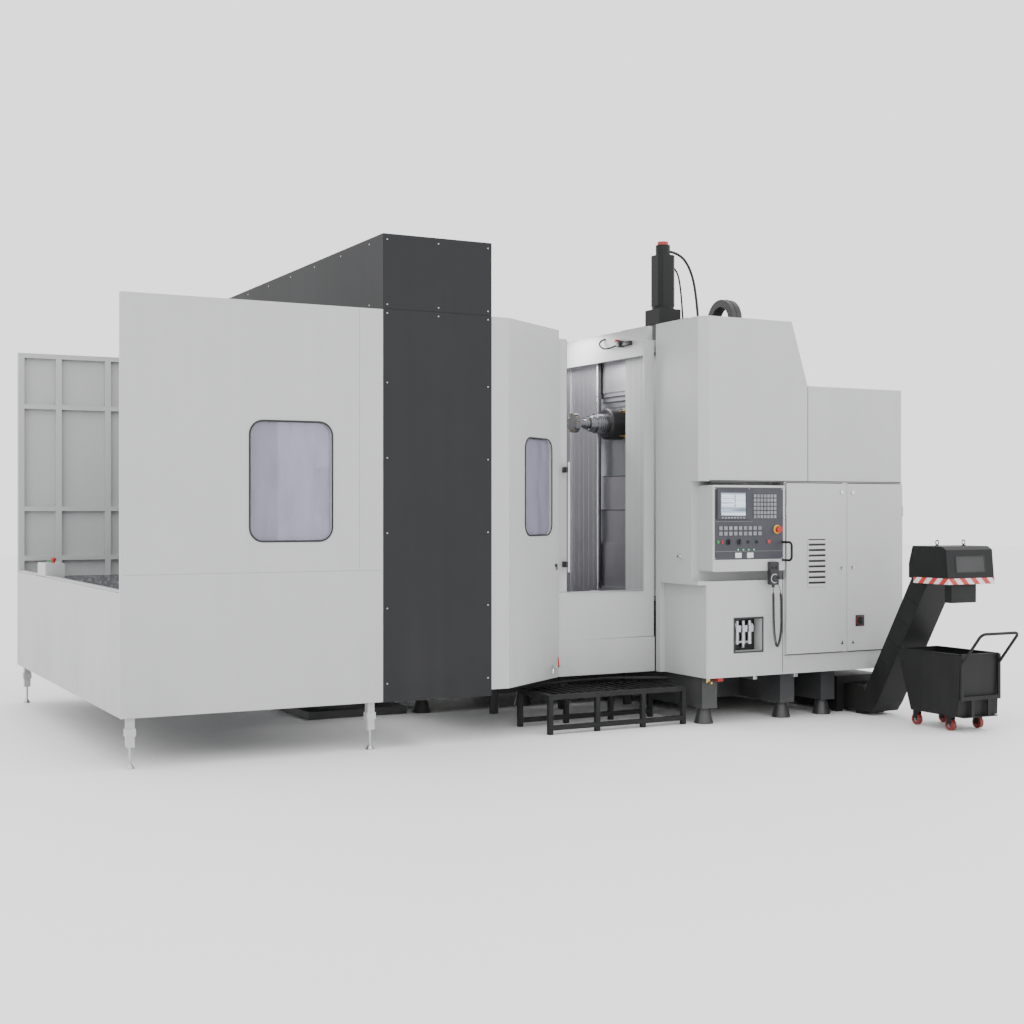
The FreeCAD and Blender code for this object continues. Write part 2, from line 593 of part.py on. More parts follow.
def spindle_head():
    """Head casting inside the column with its front plate and its two cover leaves."""
    y_half = FRAME_HALF - 12.5
    plate = box(PLATE_X, PLATE_X + 30, SPINDLE_Y - y_half, SPINDLE_Y + y_half,
                SPINDLE_Z - HEAD_PLATE, SPINDLE_Z + HEAD_PLATE)
    ram = rod(190, (PLATE_X + 30, SPINDLE_Y, SPINDLE_Z), (1, 0, 0), COLUMN_X0 - PLATE_X + 20)
    block = box(COLUMN_X0 + 40, COLUMN_X1 - 260, SPINDLE_Y - 298, SPINDLE_Y + 298,
                SPINDLE_Z - 280, SPINDLE_Z + 280)
    upper, lower = upright_leaves(3)
    pieces = [plate, ram, block, upper, lower]
    for z0, z1 in ((SPINDLE_Z + HEAD_PLATE - 18, SPINDLE_Z + HEAD_PLATE - 2),
                   (SPINDLE_Z - HEAD_PLATE + 2, SPINDLE_Z - HEAD_PLATE + 18)):
        pieces.append(box(UPRIGHT_X + 3 * LAYER + 2, PLATE_X + 2, SPINDLE_Y - 200, SPINDLE_Y + 200, z0, z1))
    return fuse(*pieces).cut(rod(102, (PLATE_X - 40, SPINDLE_Y, SPINDLE_Z), (1, 0, 0), 430))


def spindle_housing():
    """Black housing tube with a stepped front cap."""
    x0 = SPINDLE_TIP_X + NOSE_L
    tube = rod(SPINDLE_R, (x0 + 12, SPINDLE_Y, SPINDLE_Z), (1, 0, 0), PLATE_X - x0 - 12)
    cap = Part.makeCone(SPINDLE_R - 12, SPINDLE_R, 12, V(x0, SPINDLE_Y, SPINDLE_Z), V(1, 0, 0))
    spigot = rod(100, (PLATE_X, SPINDLE_Y, SPINDLE_Z), (1, 0, 0), 200)
    bore = rod(NOSE_R + 0.4, (x0 - 1, SPINDLE_Y, SPINDLE_Z), (1, 0, 0), 500)
    return fuse(tube, cap, spigot).cut(bore)


def spindle_nose():
    """Spindle shaft with its stepped nose, drive keys and taper socket."""
    shaft = rod(NOSE_R, (SPINDLE_TIP_X + 60, SPINDLE_Y, SPINDLE_Z), (1, 0, 0), NOSE_L + 250)
    step = rod(NOSE_R - 12, (SPINDLE_TIP_X + 18, SPINDLE_Y, SPINDLE_Z), (1, 0, 0), 45)
    face = rod(NOSE_R - 20, (SPINDLE_TIP_X, SPINDLE_Y, SPINDLE_Z), (1, 0, 0), 20)
    keys = box(SPINDLE_TIP_X - 8, SPINDLE_TIP_X + 10, SPINDLE_Y - 13, SPINDLE_Y + 13,
               SPINDLE_Z - NOSE_R + 22, SPINDLE_Z + NOSE_R - 22)
    taper = Part.makeCone(35, 22, 100, V(SPINDLE_TIP_X - 9, SPINDLE_Y, SPINDLE_Z), V(1, 0, 0))
    return fuse(shaft, step, face, keys).cut(taper)


MILL_R = 82.0


def face_mill():
    """Tool holder with its grip flange, shank and a toothed milling head."""
    x = SPINDLE_TIP_X - 156
    taper = Part.makeCone(34.6, 22, 96, V(SPINDLE_TIP_X - 9, SPINDLE_Y, SPINDLE_Z), V(1, 0, 0))
    flange = rod(50, (SPINDLE_TIP_X - 38, SPINDLE_Y, SPINDLE_Z), (1, 0, 0), 29)
    groove = rod(51, (SPINDLE_TIP_X - 28, SPINDLE_Y, SPINDLE_Z), (1, 0, 0), 8)
    groove = groove.cut(rod(43, (SPINDLE_TIP_X - 29, SPINDLE_Y, SPINDLE_Z), (1, 0, 0), 10))
    shank = rod(34, (x + 40, SPINDLE_Y, SPINDLE_Z), (1, 0, 0), 90)
    disc = rod(MILL_R, (x, SPINDLE_Y, SPINDLE_Z), (1, 0, 0), 44)
    body = fuse(taper, flange.cut(groove), shank, disc)
    gullet = box(x - 1, x + 30, SPINDLE_Y - 10, SPINDLE_Y + 10, SPINDLE_Z + MILL_R - 20, SPINDLE_Z + MILL_R + 5)
    for tooth in range(8):
        cut = gullet.copy()
        cut.rotate(V(x, SPINDLE_Y, SPINDLE_Z), V(1, 0, 0), tooth * 45)
        body = body.cut(cut)
    return body


MOTOR_X = 4880.0


def axis_motor():
    """Vertical axis servo motor on the column's top: mount, octagonal body and end cap."""
    centre = (MOTOR_X + 80, SPINDLE_Y, COLUMN_TOP)
    mount = box(MOTOR_X - 30, MOTOR_X + 190, SPINDLE_Y - 110, SPINDLE_Y + 110, COLUMN_TOP, COLUMN_TOP + 130)
    flange = rod(95, (centre[0], centre[1], COLUMN_TOP + 130), (0, 0, 1), 30)
    square = box(MOTOR_X - 6, MOTOR_X + 166, SPINDLE_Y - 86, SPINDLE_Y + 86, COLUMN_TOP + 160, COLUMN_TOP + 600)
    upright = []
    for edge in square.Edges:
        if abs(edge.tangentAt(edge.FirstParameter).z) > 0.99:
            upright.append(edge)
    body = square.makeChamfer(34, upright)
    encoder = rod(62, (centre[0], centre[1], COLUMN_TOP + 600), (0, 0, 1), 90)
    cap = rod(45, (centre[0], centre[1], COLUMN_TOP + 690), (0, 0, 1), 30)
    return fuse(mount, flange, body, encoder, cap)


def cable_chain():
    """Cable carrier that loops over the column's top, with its trough."""
    x0, x1 = COLUMN_X1 - 330, COLUMN_X1 - 230
    z = COLUMN_TOP + 60
    outer = 190.0
    inner = 125.0
    centre_y = SPINDLE_Y - 60
    ring = rod(outer, (x0, centre_y, z), (1, 0, 0), x1 - x0)
    ring = ring.cut(rod(inner, (x0 - 1, centre_y, z), (1, 0, 0), x1 - x0 + 2))
    ring = ring.common(box(x0, x1, centre_y - 300, centre_y + 300, z, z + 400))
    foot = box(x0, x1, centre_y - outer, centre_y - inner, COLUMN_TOP, z)
    tail = box(x0, x1, centre_y + inner, centre_y + outer, COLUMN_TOP, z)
    return fuse(ring, foot, tail)


def tool_magazine():
    """Disc magazine on the rear side with its ring of tool pockets."""
    hub_z = 1750.0
    x0 = MAGAZINE_X
    y = BAY_W - 380
    disc = rod(520, (x0, y, hub_z), (0, -1, 0), 60)
    hub = rod(90, (x0, y + 250, hub_z), (0, -1, 0), 250)
    body = fuse(disc, hub)
    pockets = []
    for i in range(20):
        turn = 2 * math.pi * i / 20
        start = (x0 + 450 * math.cos(turn), y + 1, hub_z + 450 * math.sin(turn))
        pockets.append(rod(42, start, (0, -1, 0), 62))
    return body.cut(Part.makeCompound(pockets))


# ---- right block --------------------------------------------------------------------------------
LOW_X = BLOCK_X + 45.0
SERVICE_X0, SERVICE_X1 = 4640.0, 4900.0
SERVICE_Z0, SERVICE_Z1 = 560.0, 810.0


def block_profile(y):
    """Side outline of the block's skin in the XZ plane."""
    return [(BLOCK_X, y, SKIN_Z + 40), (MACHINE_L, y, SKIN_Z + 40), (MACHINE_L, y, BLOCK_LOW_H),
            (BLOCK_STEP_X + BLOCK_SLOPE, y, BLOCK_LOW_H), (BLOCK_STEP_X, y, BLOCK_H), (BLOCK_X, y, BLOCK_H)]


def side_cover():
    """Operator-side block: folded skin with the console niche, cabinet mouth and service window."""
    y1 = BLOCK_Y + BLOCK_DEPTH
    outer = prism(block_profile(BLOCK_Y), (0, BLOCK_DEPTH, 0))
    corner = []
    for edge in outer.Edges:
        middle = edge.CenterOfMass
        on_corner = abs(middle.x - BLOCK_X) < 1 and abs(middle.y - BLOCK_Y) < 1
        if on_corner:
            corner.append(edge)
    outer = outer.makeChamfer(60, corner)
    hollow = box(BLOCK_X + SHEET + 60, BLOCK_STEP_X - SHEET, BLOCK_Y + SHEET, y1 - SHEET,
                 SKIN_Z + 60, BLOCK_H - SHEET)
    low_hollow = box(BLOCK_STEP_X - SHEET - 1, MACHINE_L - SHEET, BLOCK_Y + SHEET, y1 - SHEET,
                     CABINET_Z1 + 40, BLOCK_LOW_H - SHEET)
    body = outer.cut(hollow).cut(low_hollow)
    niche_back = box(BLOCK_X + 30, CABINET_X + 20, BLOCK_Y + SHEET, BLOCK_Y + NICHE_DEPTH + SHEET,
                     NICHE_Z0 - SHEET, NICHE_Z1 + SHEET)
    body = fuse(body, niche_back.common(outer))
    body = body.cut(box(BLOCK_X - 1, CABINET_X, BLOCK_Y - 1, BLOCK_Y + NICHE_DEPTH, NICHE_Z0, NICHE_Z1))
    body = body.cut(box(CABINET_X + 10, MACHINE_L - 12, BLOCK_Y - 1, y1 - 60, CABINET_Z0 - 10, CABINET_Z1 + 10))
    body = body.cut(box(BLOCK_X - 1, LOW_X, BLOCK_Y - 1, y1 - 60, 0, NICHE_Z0 - 30))
    pocket = box(SERVICE_X0 - SHEET, SERVICE_X1 + SHEET, BLOCK_Y + SHEET, BLOCK_Y + 130,
                 SERVICE_Z0 - SHEET, SERVICE_Z1 + SHEET)
    body = fuse(body, pocket)
    return body.cut(box(SERVICE_X0, SERVICE_X1, BLOCK_Y - 1, BLOCK_Y + 120, SERVICE_Z0, SERVICE_Z1))


def air_service_unit():
    """Filter, regulator and lubricator bowls on a rail at the back of the service window."""
    y = BLOCK_Y + 75
    rail = box(SERVICE_X0 + 25, SERVICE_X1 - 25, y, BLOCK_Y + 120, SERVICE_Z1 - 90, SERVICE_Z1 - 60)
    pieces = [rail]
    for x in (SERVICE_X0 + 70, SERVICE_X0 + 130, SERVICE_X0 + 190):
        pieces.append(box(x - 22, x + 22, y - 30, y + 20, SERVICE_Z1 - 105, SERVICE_Z1 - 55))
        pieces.append(rod(19, (x, y - 5, SERVICE_Z1 - 200), (0, 0, 1), 100))
        pieces.append(rod(15, (x, y - 5, SERVICE_Z1 - 56), (0, 0, 1), 36))
    return fuse(*pieces)


def electrical_cabinet():
    """Cabinet carcass behind the two doors: back, top, bottom, sides and mounting plate."""
    x0, x1 = CABINET_X + 10, MACHINE_L - 12
    y0, y1 = BLOCK_Y, BLOCK_Y + 420
    z0, z1 = CABINET_Z0 - 10, CABINET_Z1 + 10
    shell = box(x0, x1, y0, y1, z0, z1).cut(box(x0 + 3, x1 - 3, y0 - 1, y1 - 3, z0 + 3, z1 - 3))
    mullion = box(DOOR_SPLIT_X - 25, DOOR_SPLIT_X + 25, y0, y0 + 30, z0, z1)
    plate = box(x0 + 40, x1 - 40, y1 - 40, y1 - 2, z0 + 40, z1 - 40)
    return fuse(shell, mullion, plate)


CABINET_DOOR_T = 24.0
CABINET_FACE = BLOCK_Y - 0.5
HINGE_R = 7.0


def cabinet_door(x0, x1, hinge_x):
    """Folded door with a turned-in edge and its hinge barrels."""
    y1 = CABINET_FACE
    y0 = y1 - CABINET_DOOR_T
    leaf = box(x0 + 2, x1 - 2, y0, y1, CABINET_Z0, CABINET_Z1)
    leaf = leaf.cut(box(x0 + 6, x1 - 6, y0 + 3, y1 + 1, CABINET_Z0 + 4, CABINET_Z1 - 4))
    pieces = [leaf]
    for z in (CABINET_Z0 + 180, CABINET_Z1 - 260):
        pieces.append(rod(HINGE_R, (hinge_x, y0 + 1, z), (0, 0, 1), 80))
    return fuse(*pieces)


SWITCH_X, SWITCH_Z = 5860.0, 760.0


def main_switch():
    """Rotary isolator handle: round rose with a bar grip."""
    y = CABINET_FACE - CABINET_DOOR_T
    rose = rod(34, (SWITCH_X, y - 0.3, SWITCH_Z), (0, -1, 0), 14)
    grip = box(SWITCH_X - 10, SWITCH_X + 10, y - 42, y - 12, SWITCH_Z - 32, SWITCH_Z + 32)
    return fuse(rose, rounded(grip, 6, V(0, 1, 0)))


def rear_cover():
    """Rear and end skins round the column bay, with the magazine hood on the rear side."""
    y0 = BLOCK_Y + BLOCK_DEPTH
    x1 = MACHINE_L
    end = box(x1 - 40, x1, y0, BAY_W, SKIN_Z + 40, BLOCK_LOW_H)
    back = box(BLOCK_X, x1, BAY_W - 59, BAY_W - 19, SKIN_Z + 40, BLOCK_LOW_H)
    hood = box(BLOCK_X, COLUMN_X0 + 560, BAY_W - 59, BAY_W - 19, SKIN_Z + 40, BLOCK_H)
    room_back = box(TOWER_X1, BLOCK_X + 1, BAY_W - 59, BAY_W - 19, SKIN_Z + 40, ROOM_H)
    bearing = rod(120, (MAGAZINE_X, BAY_W - 50, 1750), (0, -1, 0), 79.7)
    ribs = []
    for x in (TOWER_X1 + 300, TOWER_X1 + 1000, BLOCK_X + 500, BLOCK_X + 1200):
        ribs.append(box(x, x + 40, BAY_W - 20, BAY_W, SKIN_Z + 40, BLOCK_LOW_H - 60))
    return fuse(end, back, hood, room_back, bearing, *ribs)


# ---- console ------------------------------------------------------------------------------------
def console_housing():
    """White console box in the niche, set a little proud of the block."""
    x0, x1 = CONSOLE_X0, CONSOLE_X1
    body = box(x0, x1, CONSOLE_Y0, CONSOLE_Y1, 1180, NICHE_Z1 - 30)
    body = rounded(body, 12, V(0, 1, 0))
    return body.cut(box(x0 + 18, x1 - 18, CONSOLE_Y0 - 1, CONSOLE_Y0 + 14, PANEL_Z0 - 60, PANEL_Z1 + 8))


def console_panel():
    """Dark front plate with the raised screen surround and the lower strip."""
    x0, x1 = CONSOLE_X0 + 20, CONSOLE_X1 - 20
    plate = box(x0, x1, CONSOLE_Y0 + 2, CONSOLE_Y0 + 14, PANEL_Z0 - 58, PANEL_Z1 + 6)
    surround = box(x0 + 20, x0 + 330, CONSOLE_Y0 - 8, CONSOLE_Y0 + 2, PANEL_Z1 - 235, PANEL_Z1 - 10)
    screen = box(x0 + 50, x0 + 290, CONSOLE_Y0 - 9, CONSOLE_Y0 - 4, PANEL_Z1 - 215, PANEL_Z1 - 30)
    holes = [rod(12.5, (x, CONSOLE_Y0 - 20, z), (0, 1, 0), 60) for x, z in BUTTON_SPOTS]
    return fuse(plate, surround).cut(screen).cut(Part.makeCompound(holes))


KEY_BACK = 1.2
ESTOP_X, ESTOP_Z = CONSOLE_X1 - 75, PANEL_Z0 + 170
KNOB_Z = PANEL_Z0 + 75
KNOB_XS = (CONSOLE_X0 + 150, CONSOLE_X0 + 250)
BUTTON_SPOTS = [(ESTOP_X, ESTOP_Z), (KNOB_XS[0], KNOB_Z), (KNOB_XS[1], KNOB_Z)]


def estop_button():
    """Mushroom button on a stem that runs in the panel."""
    stem = rod(12, (ESTOP_X, CONSOLE_Y0 - 20, ESTOP_Z), (0, 1, 0), 27)
    cap = rod(26, (ESTOP_X, CONSOLE_Y0 - 34, ESTOP_Z), (0, 1, 0), 20)
    return fuse(stem, cap)


def override_knob(x):
    """Pointer knob on a shaft that runs in the panel."""
    shaft = rod(12, (x, CONSOLE_Y0 - 4, KNOB_Z), (0, 1, 0), 17)
    skirt = rod(22, (x, CONSOLE_Y0 - 6, KNOB_Z), (0, 1, 0), 6)
    grip = box(x - 6, x + 6, CONSOLE_Y0 - 24, CONSOLE_Y0 - 5, KNOB_Z - 19, KNOB_Z + 19)
    return fuse(shaft, skirt, grip)


def console_keys():
    """Key caps of the keypad and the machine panel, drawn in rows."""
    keys = []
    for row in range(6):
        for column_index in range(7):
            x = CONSOLE_X0 + 385 + column_index * 32
            z = PANEL_Z1 - 45 - row * 32
            keys.append(box(x, x + 24, CONSOLE_Y0 - 4, CONSOLE_Y0 + KEY_BACK, z - 24, z))
    for row in range(2):
        for column_index in range(9):
            x = CONSOLE_X0 + 60 + column_index * 46
            z = PANEL_Z0 + 195 - row * 42
            keys.append(box(x, x + 30, CONSOLE_Y0 - 4, CONSOLE_Y0 + KEY_BACK, z - 28, z))
    return Part.makeCompound(keys)


def grab_handle():
    """Bent bar beside the console with the hook for the handwheel pendant."""
    x, y = CONSOLE_X1 - 22, CONSOLE_Y0
    points = [(x, y, PANEL_Z0 + 70), (x, y - 110, PANEL_Z0 + 70),
              (x, y - 110, PANEL_Z0 - 70), (x, y, PANEL_Z0 - 70)]
    return tube_path(points, 9, 30)


# ---- chip handling ------------------------------------------------------------------------------
TANK_X0, TANK_X1 = BED_X1 + 85.0, MACHINE_L - 20.0
TANK_Y0 = 30.0


def chip_tank():
    """Coolant tank under the right end, with the conveyor's foot at its front."""
    body = box(TANK_X0, TANK_X1, TANK_Y0, 3000, 20, TANK_Z1)
    feet = [box(x, x + 60, y, y + 60, 0, 20) for x in (TANK_X0, TANK_X1 - 60) for y in (TANK_Y0, 1500, 2940)]
    return fuse(body, *feet)


HEAD_Y, HEAD_Z = -830.0, 1080.0
HOOD_Y0, HOOD_Y1 = -1200.0, -780.0


def trough_axis(distance):
    """Point on the incline's middle line, measured down from the head."""
    turn = math.radians(CONVEYOR_ANGLE)
    return HEAD_Y + distance * math.cos(turn), HEAD_Z - distance * math.sin(turn)


def conveyor_trough():
    """Inclined conveyor housing that bends flat at the foot and meets the tank."""
    half = CONVEYOR_T / 2
    turn = math.radians(CONVEYOR_ANGLE)
    ny, nz = math.sin(turn) * half, math.cos(turn) * half
    top_y, top_z = trough_axis(-70)
    knee_z = 60 + CONVEYOR_T
    run = (HEAD_Z - 150) / math.sin(turn)
    low_y, low_z = trough_axis(run)
    outline = [(top_y - ny, top_z - nz), (low_y - ny, low_z - nz), (low_y - ny + 60, 30), (TANK_Y0, 30),
               (TANK_Y0, knee_z), (low_y + ny + 20, knee_z), (low_y + ny, low_z + nz), (top_y + ny, top_z + nz)]
    body = prism([(CONVEYOR_X, y, z) for y, z in outline], (CONVEYOR_W, 0, 0))
    feet = box(CONVEYOR_X + 20, CONVEYOR_X + CONVEYOR_W - 20, TANK_Y0 - 200, TANK_Y0 - 120, 0, 30)
    return fuse(body, feet)


def conveyor_hood():
    """Drive head hood: sloped profile pushed along the belt's width, with a discharge chute below."""
    y0, y1 = HOOD_Y0, HOOD_Y1
    z0 = HEAD_Z + 10
    profile = [(y0, z0), (y0 + 25, z0 + 260), (y0 + 70, z0 + 285),
               (y1 - 40, z0 + 285), (y1, z0 + 150), (y1, z0 + 40)]
    body = prism([(HOOD_X, y, z) for y, z in profile], (HOOD_L, 0, 0))
    chute = box(CONVEYOR_X + 10, CONVEYOR_X + CONVEYOR_W - 10, y0 + 30, y0 + 100, z0 - 140, z0 + 40)
    throat = box(CONVEYOR_X + 16, CONVEYOR_X + CONVEYOR_W - 16, y0 + 36, y0 + 94, z0 - 141, z0 + 120)
    return fuse(body, chute).cut(throat).cut(conveyor_trough())


def conveyor_gearmotor():
    """Gearbox and motor on the hood's rear face, beside the incline."""
    x0 = CONVEYOR_X + CONVEYOR_W + 12
    y0 = HOOD_Y1
    z = HEAD_Z + 175
    gearbox = rounded(box(x0, x0 + 120, y0, y0 + 110, z - 60, z + 60), 20, V(0, 1, 0))
    return fuse(gearbox, rod(50, (x0 + 60, y0 + 109, z), (0, 1, 0), 190))


# ---- chip cart ----------------------------------------------------------------------------------
WHEEL_R = 43.0
WHEEL_XS = (CART_X + 60, CART_X + CART_W - 60)
WHEEL_YS = (CART_Y0 + 135, CART_Y0 + CART_L - 135)


def cart_hopper():
    """Welded hopper with a sloped rear wall, open at the top."""
    y0, y1 = CART_Y0, CART_Y0 + CART_L
    outline = [(y0, CART_Z0), (y1 - 130, CART_Z0), (y1, CART_Z1 - 60), (y1, CART_Z1), (y0 - 20, CART_Z1)]
    inset = [(y0 + 4, CART_Z0 + 4), (y1 - 136, CART_Z0 + 4), (y1 - 5, CART_Z1 - 60), (y1 - 5, CART_Z1 + 1),
             (y0 - 15, CART_Z1 + 1)]
    body = prism([(CART_X, y, z) for y, z in outline], (CART_W, 0, 0))
    return body.cut(prism([(CART_X + 4, y, z) for y, z in inset], (CART_W - 8, 0, 0)))


def cart_frame():
    """Push handle, its corner posts and the four caster forks."""
    y = CART_Y0 - 33
    pieces = []
    for x in (CART_X + 12, CART_X + CART_W - 12):
        pieces.append(box(x - 12, x + 12, y - 2, CART_Y0 - 20.3, CART_Z0 + 120, CART_Z1))
    handle = tube_path([(CART_X + 12, y, CART_Z1 - 60), (CART_X + 12, y - 190, CART_Z1 + 170),
                        (CART_X + CART_W - 12, y - 190, CART_Z1 + 170), (CART_X + CART_W - 12, y, CART_Z1 - 60)],
                       11, 40)
    pieces.append(handle)
    pieces.append(box(CART_X + 12, CART_X + CART_W - 12, y - 2, y + 12, CART_Z0 + 120, CART_Z0 + 150))
    strap_z = CART_Z0 - 8
    pieces.append(box(CART_X + 30, CART_X + CART_W - 30, y - 2, CART_Y0 + CART_L - 110, strap_z, CART_Z0))
    pieces.append(box(CART_X + 100, CART_X + 130, y - 2, y + 12, strap_z, CART_Z0 + 130))
    pieces.append(box(CART_X + CART_W - 130, CART_X + CART_W - 100, y - 2, y + 12, strap_z, CART_Z0 + 130))
    body = fuse(*pieces)
    for x in WHEEL_XS:
        for wheel_y in WHEEL_YS:
            fork = box(x - 24, x + 24, wheel_y - 20, wheel_y + 20, WHEEL_R - 12, strap_z)
            fork = fork.cut(box(x - 19, x + 19, wheel_y - 60, wheel_y + 60, 0, WHEEL_R + 52))
            axle = rod(6, (x - 24, wheel_y, WHEEL_R), (1, 0, 0), 48)
            body = fuse(body, fork, axle)
    return body


def cart_wheels(wheel_y):
    """Pair of wheels on one line across the cart."""
    wheels = []
    for x in WHEEL_XS:
        wheel = rod(WHEEL_R, (x - 16, wheel_y, WHEEL_R), (1, 0, 0), 32)
        wheels.append(wheel.cut(rod(6.05, (x - 17, wheel_y, WHEEL_R), (1, 0, 0), 34)))
    return Part.makeCompound(wheels)


# ---- step ---------------------------------------------------------------------------------------
def step_platform():
    """Welded angle-iron step with legs, a mid rail and a bar grating."""
    x0, x1 = STEP_X, STEP_X + STEP_L
    y0, y1 = STEP_Y - STEP_W, STEP_Y
    bar = 35.0
    pieces = [box(x0, x1, y0, y1, STEP_H - bar, STEP_H).cut(
        box(x0 + bar, x1 - bar, y0 + bar, y1 - bar, STEP_H - bar - 1, STEP_H + 1))]
    for x in (x0, x0 + STEP_L / 3, x0 + 2 * STEP_L / 3, x1 - bar):
        for y in (y0, y1 - bar):
            pieces.append(box(x, x + bar, y, y + bar, 0, STEP_H - bar))
    for y in (y0, y1 - bar):
        pieces.append(box(x0, x1, y, y + bar, 30, 30 + bar))
    count = 18
    for i in range(1, count):
        x = x0 + STEP_L * i / count
        pieces.append(box(x - 3, x + 3, y0 + bar, y1 - bar, STEP_H - 30, STEP_H - 2))
    for i in range(1, 5):
        y = y0 + STEP_W * i / 5
        pieces.append(box(x0 + bar, x1 - bar, y - 3, y + 3, STEP_H - 26, STEP_H - 8))
    return fuse(*pieces)


# ---- handwheel pendant --------------------------------------------------------------------------
PENDANT_X, PENDANT_Y = CONSOLE_X1 - 130, CONSOLE_Y0 - 20.0


def handwheel_pendant():
    """Hand-held pulse generator with its dial and cord boss, parked flat on the console's face."""
    body = box(PENDANT_X - 40, PENDANT_X + 40, PENDANT_Y - 20, PENDANT_Y + 20, 1070, 1250)
    body = rounded(body, 12, V(0, 1, 0))
    dial = rod(30, (PENDANT_X, PENDANT_Y - 20, 1120), (0, -1, 0), 14)
    boss = rod(12, (PENDANT_X, PENDANT_Y, 1050), (0, 0, 1), 22)
    return fuse(body, dial, boss)


CORD_R = 12.0


def handwheel_cord():
    """Curly cord's outer envelope: it hangs from the pendant in a loop and returns to the console."""
    end_x = PENDANT_X + 75
    points = [(PENDANT_X, PENDANT_Y, 1049.8), (PENDANT_X + 2, PENDANT_Y, 870), (PENDANT_X + 6, PENDANT_Y, 690),
              (PENDANT_X + 40, PENDANT_Y, 560), (end_x + 4, PENDANT_Y, 690), (end_x + 2, PENDANT_Y, 870),
              (end_x, PENDANT_Y, 1020), (end_x, PENDANT_Y + 45, 1090), (end_x, PENDANT_Y + 45, 1180)]
    return tube_path(points, CORD_R, 38)


# ---- build --------------------------------------------------------------------------------------
node("machine_bed", machine_bed())
node("levelling_feet", levelling_feet())
node("leg_posts", leg_posts())
node("setup_front_wall", setup_front_wall())
node("setup_end_wall", setup_end_wall())
node("setup_rear_wall", setup_rear_wall())
node("setup_floor", setup_floor())
node("fixed_windows", fixed_windows())
node("shutter_tower", shutter_tower())
node("changer_pedestal", changer_pedestal())
node("lift_column", lift_column())
node("changer_hub", changer_hub())
node("changer_partition", changer_partition())
node("pallets", Part.makeCompound([pallet(SWING_X - PALLET_REACH), pallet(SWING_X + PALLET_REACH)]))
node("table_saddle", table_saddle())
node("rotary_table", rotary_table())
node("angled_cover", angled_cover())
node("door_frame", door_frame())
node("sliding_door", sliding_door())
node("door_window", door_window())
node("door_handle", door_handle())
node("spindle_room_wall", spindle_room_wall())
node("cross_leaf_third", cross_leaves(1))
node("cross_leaf_two_thirds", cross_leaves(2))
node("upright_leaf_third", Part.makeCompound(upright_leaves(1)))
node("upright_leaf_two_thirds", Part.makeCompound(upright_leaves(2)))
node("column", column())
node("column_frame", column_frame())
node("spindle_head", spindle_head())
node("spindle_housing", spindle_housing())
node("spindle_nose", spindle_nose())
node("face_mill", face_mill())
node("axis_motor", axis_motor())
node("cable_chain", cable_chain())
node("tool_magazine", tool_magazine())
node("side_cover", side_cover())
node("air_service_unit", air_service_unit())
node("electrical_cabinet", electrical_cabinet())
node("left_cabinet_door", cabinet_door(CABINET_X, DOOR_SPLIT_X, CABINET_X + 2))
node("right_cabinet_door", cabinet_door(DOOR_SPLIT_X, MACHINE_L - HINGE_R, MACHINE_L - 2 - HINGE_R))
node("main_switch", main_switch())
node("rear_cover", rear_cover())
node("console_housing", console_housing())
node("console_panel", console_panel())
node("console_keys", console_keys())
node("estop_button", estop_button())
node("feed_knob", override_knob(KNOB_XS[0]))
node("spindle_knob", override_knob(KNOB_XS[1]))
node("grab_handle", grab_handle())
node("handwheel_pendant", handwheel_pendant())
node("handwheel_cord", handwheel_cord())
node("chip_tank", chip_tank())
node("conveyor_trough", conveyor_trough())
node("conveyor_hood", conveyor_hood())
node("conveyor_gearmotor", conveyor_gearmotor())
node("cart_hopper", cart_hopper())
node("cart_frame", cart_frame())
node("cart_wheels_front", cart_wheels(WHEEL_YS[0]))
node("cart_wheels_rear", cart_wheels(WHEEL_YS[1]))
node("step_platform", step_platform())

whole = Part.makeCompound(list(NODES.values())).optimalBoundingBox(False, False)
SHIFT = V(-(whole.XMin + whole.XMax) / 2, -(whole.YMin + whole.YMax) / 2, -whole.ZMin)
os.makedirs("parts", exist_ok=True)
for name, shape in NODES.items():
    shape.translate(SHIFT)
    shape.exportStep("parts/" + name + ".step")
    print(name, len(shape.Solids), shape.isValid(), round(shape.Volume / 1e6, 2))
print("pieces", len(NODES), "shift", SHIFT, "size", whole.XLength, whole.YLength, whole.ZLength)
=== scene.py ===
import math
import bpy
import bmesh
from mathutils import Matrix, Vector


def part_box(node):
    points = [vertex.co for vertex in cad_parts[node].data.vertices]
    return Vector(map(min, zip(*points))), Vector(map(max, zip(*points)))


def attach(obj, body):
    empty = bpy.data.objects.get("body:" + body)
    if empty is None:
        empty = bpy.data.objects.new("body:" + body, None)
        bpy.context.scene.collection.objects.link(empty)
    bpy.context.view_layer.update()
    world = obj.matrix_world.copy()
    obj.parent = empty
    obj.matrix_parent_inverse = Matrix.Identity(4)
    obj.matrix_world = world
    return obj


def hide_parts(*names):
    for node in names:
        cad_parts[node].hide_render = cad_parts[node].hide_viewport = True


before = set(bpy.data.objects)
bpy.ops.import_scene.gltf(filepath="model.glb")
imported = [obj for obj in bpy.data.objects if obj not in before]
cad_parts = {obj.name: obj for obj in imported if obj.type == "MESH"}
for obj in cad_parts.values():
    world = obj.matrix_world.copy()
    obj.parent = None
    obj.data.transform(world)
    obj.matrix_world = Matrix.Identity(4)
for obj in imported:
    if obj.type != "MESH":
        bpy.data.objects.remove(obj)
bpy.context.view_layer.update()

# ---- floor, light and view ----
# The machine stands on a pale workshop floor under wide soft lamps.
# Places are told from the front left corner of its covers, at floor height.
front_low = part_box("setup_front_wall")[0]
CORNER = Vector((front_low.x, front_low.y, 0))


def at(x, y, z):
    """Point measured from the front left corner of the covers, in metres."""
    return CORNER + Vector((x, y, z))


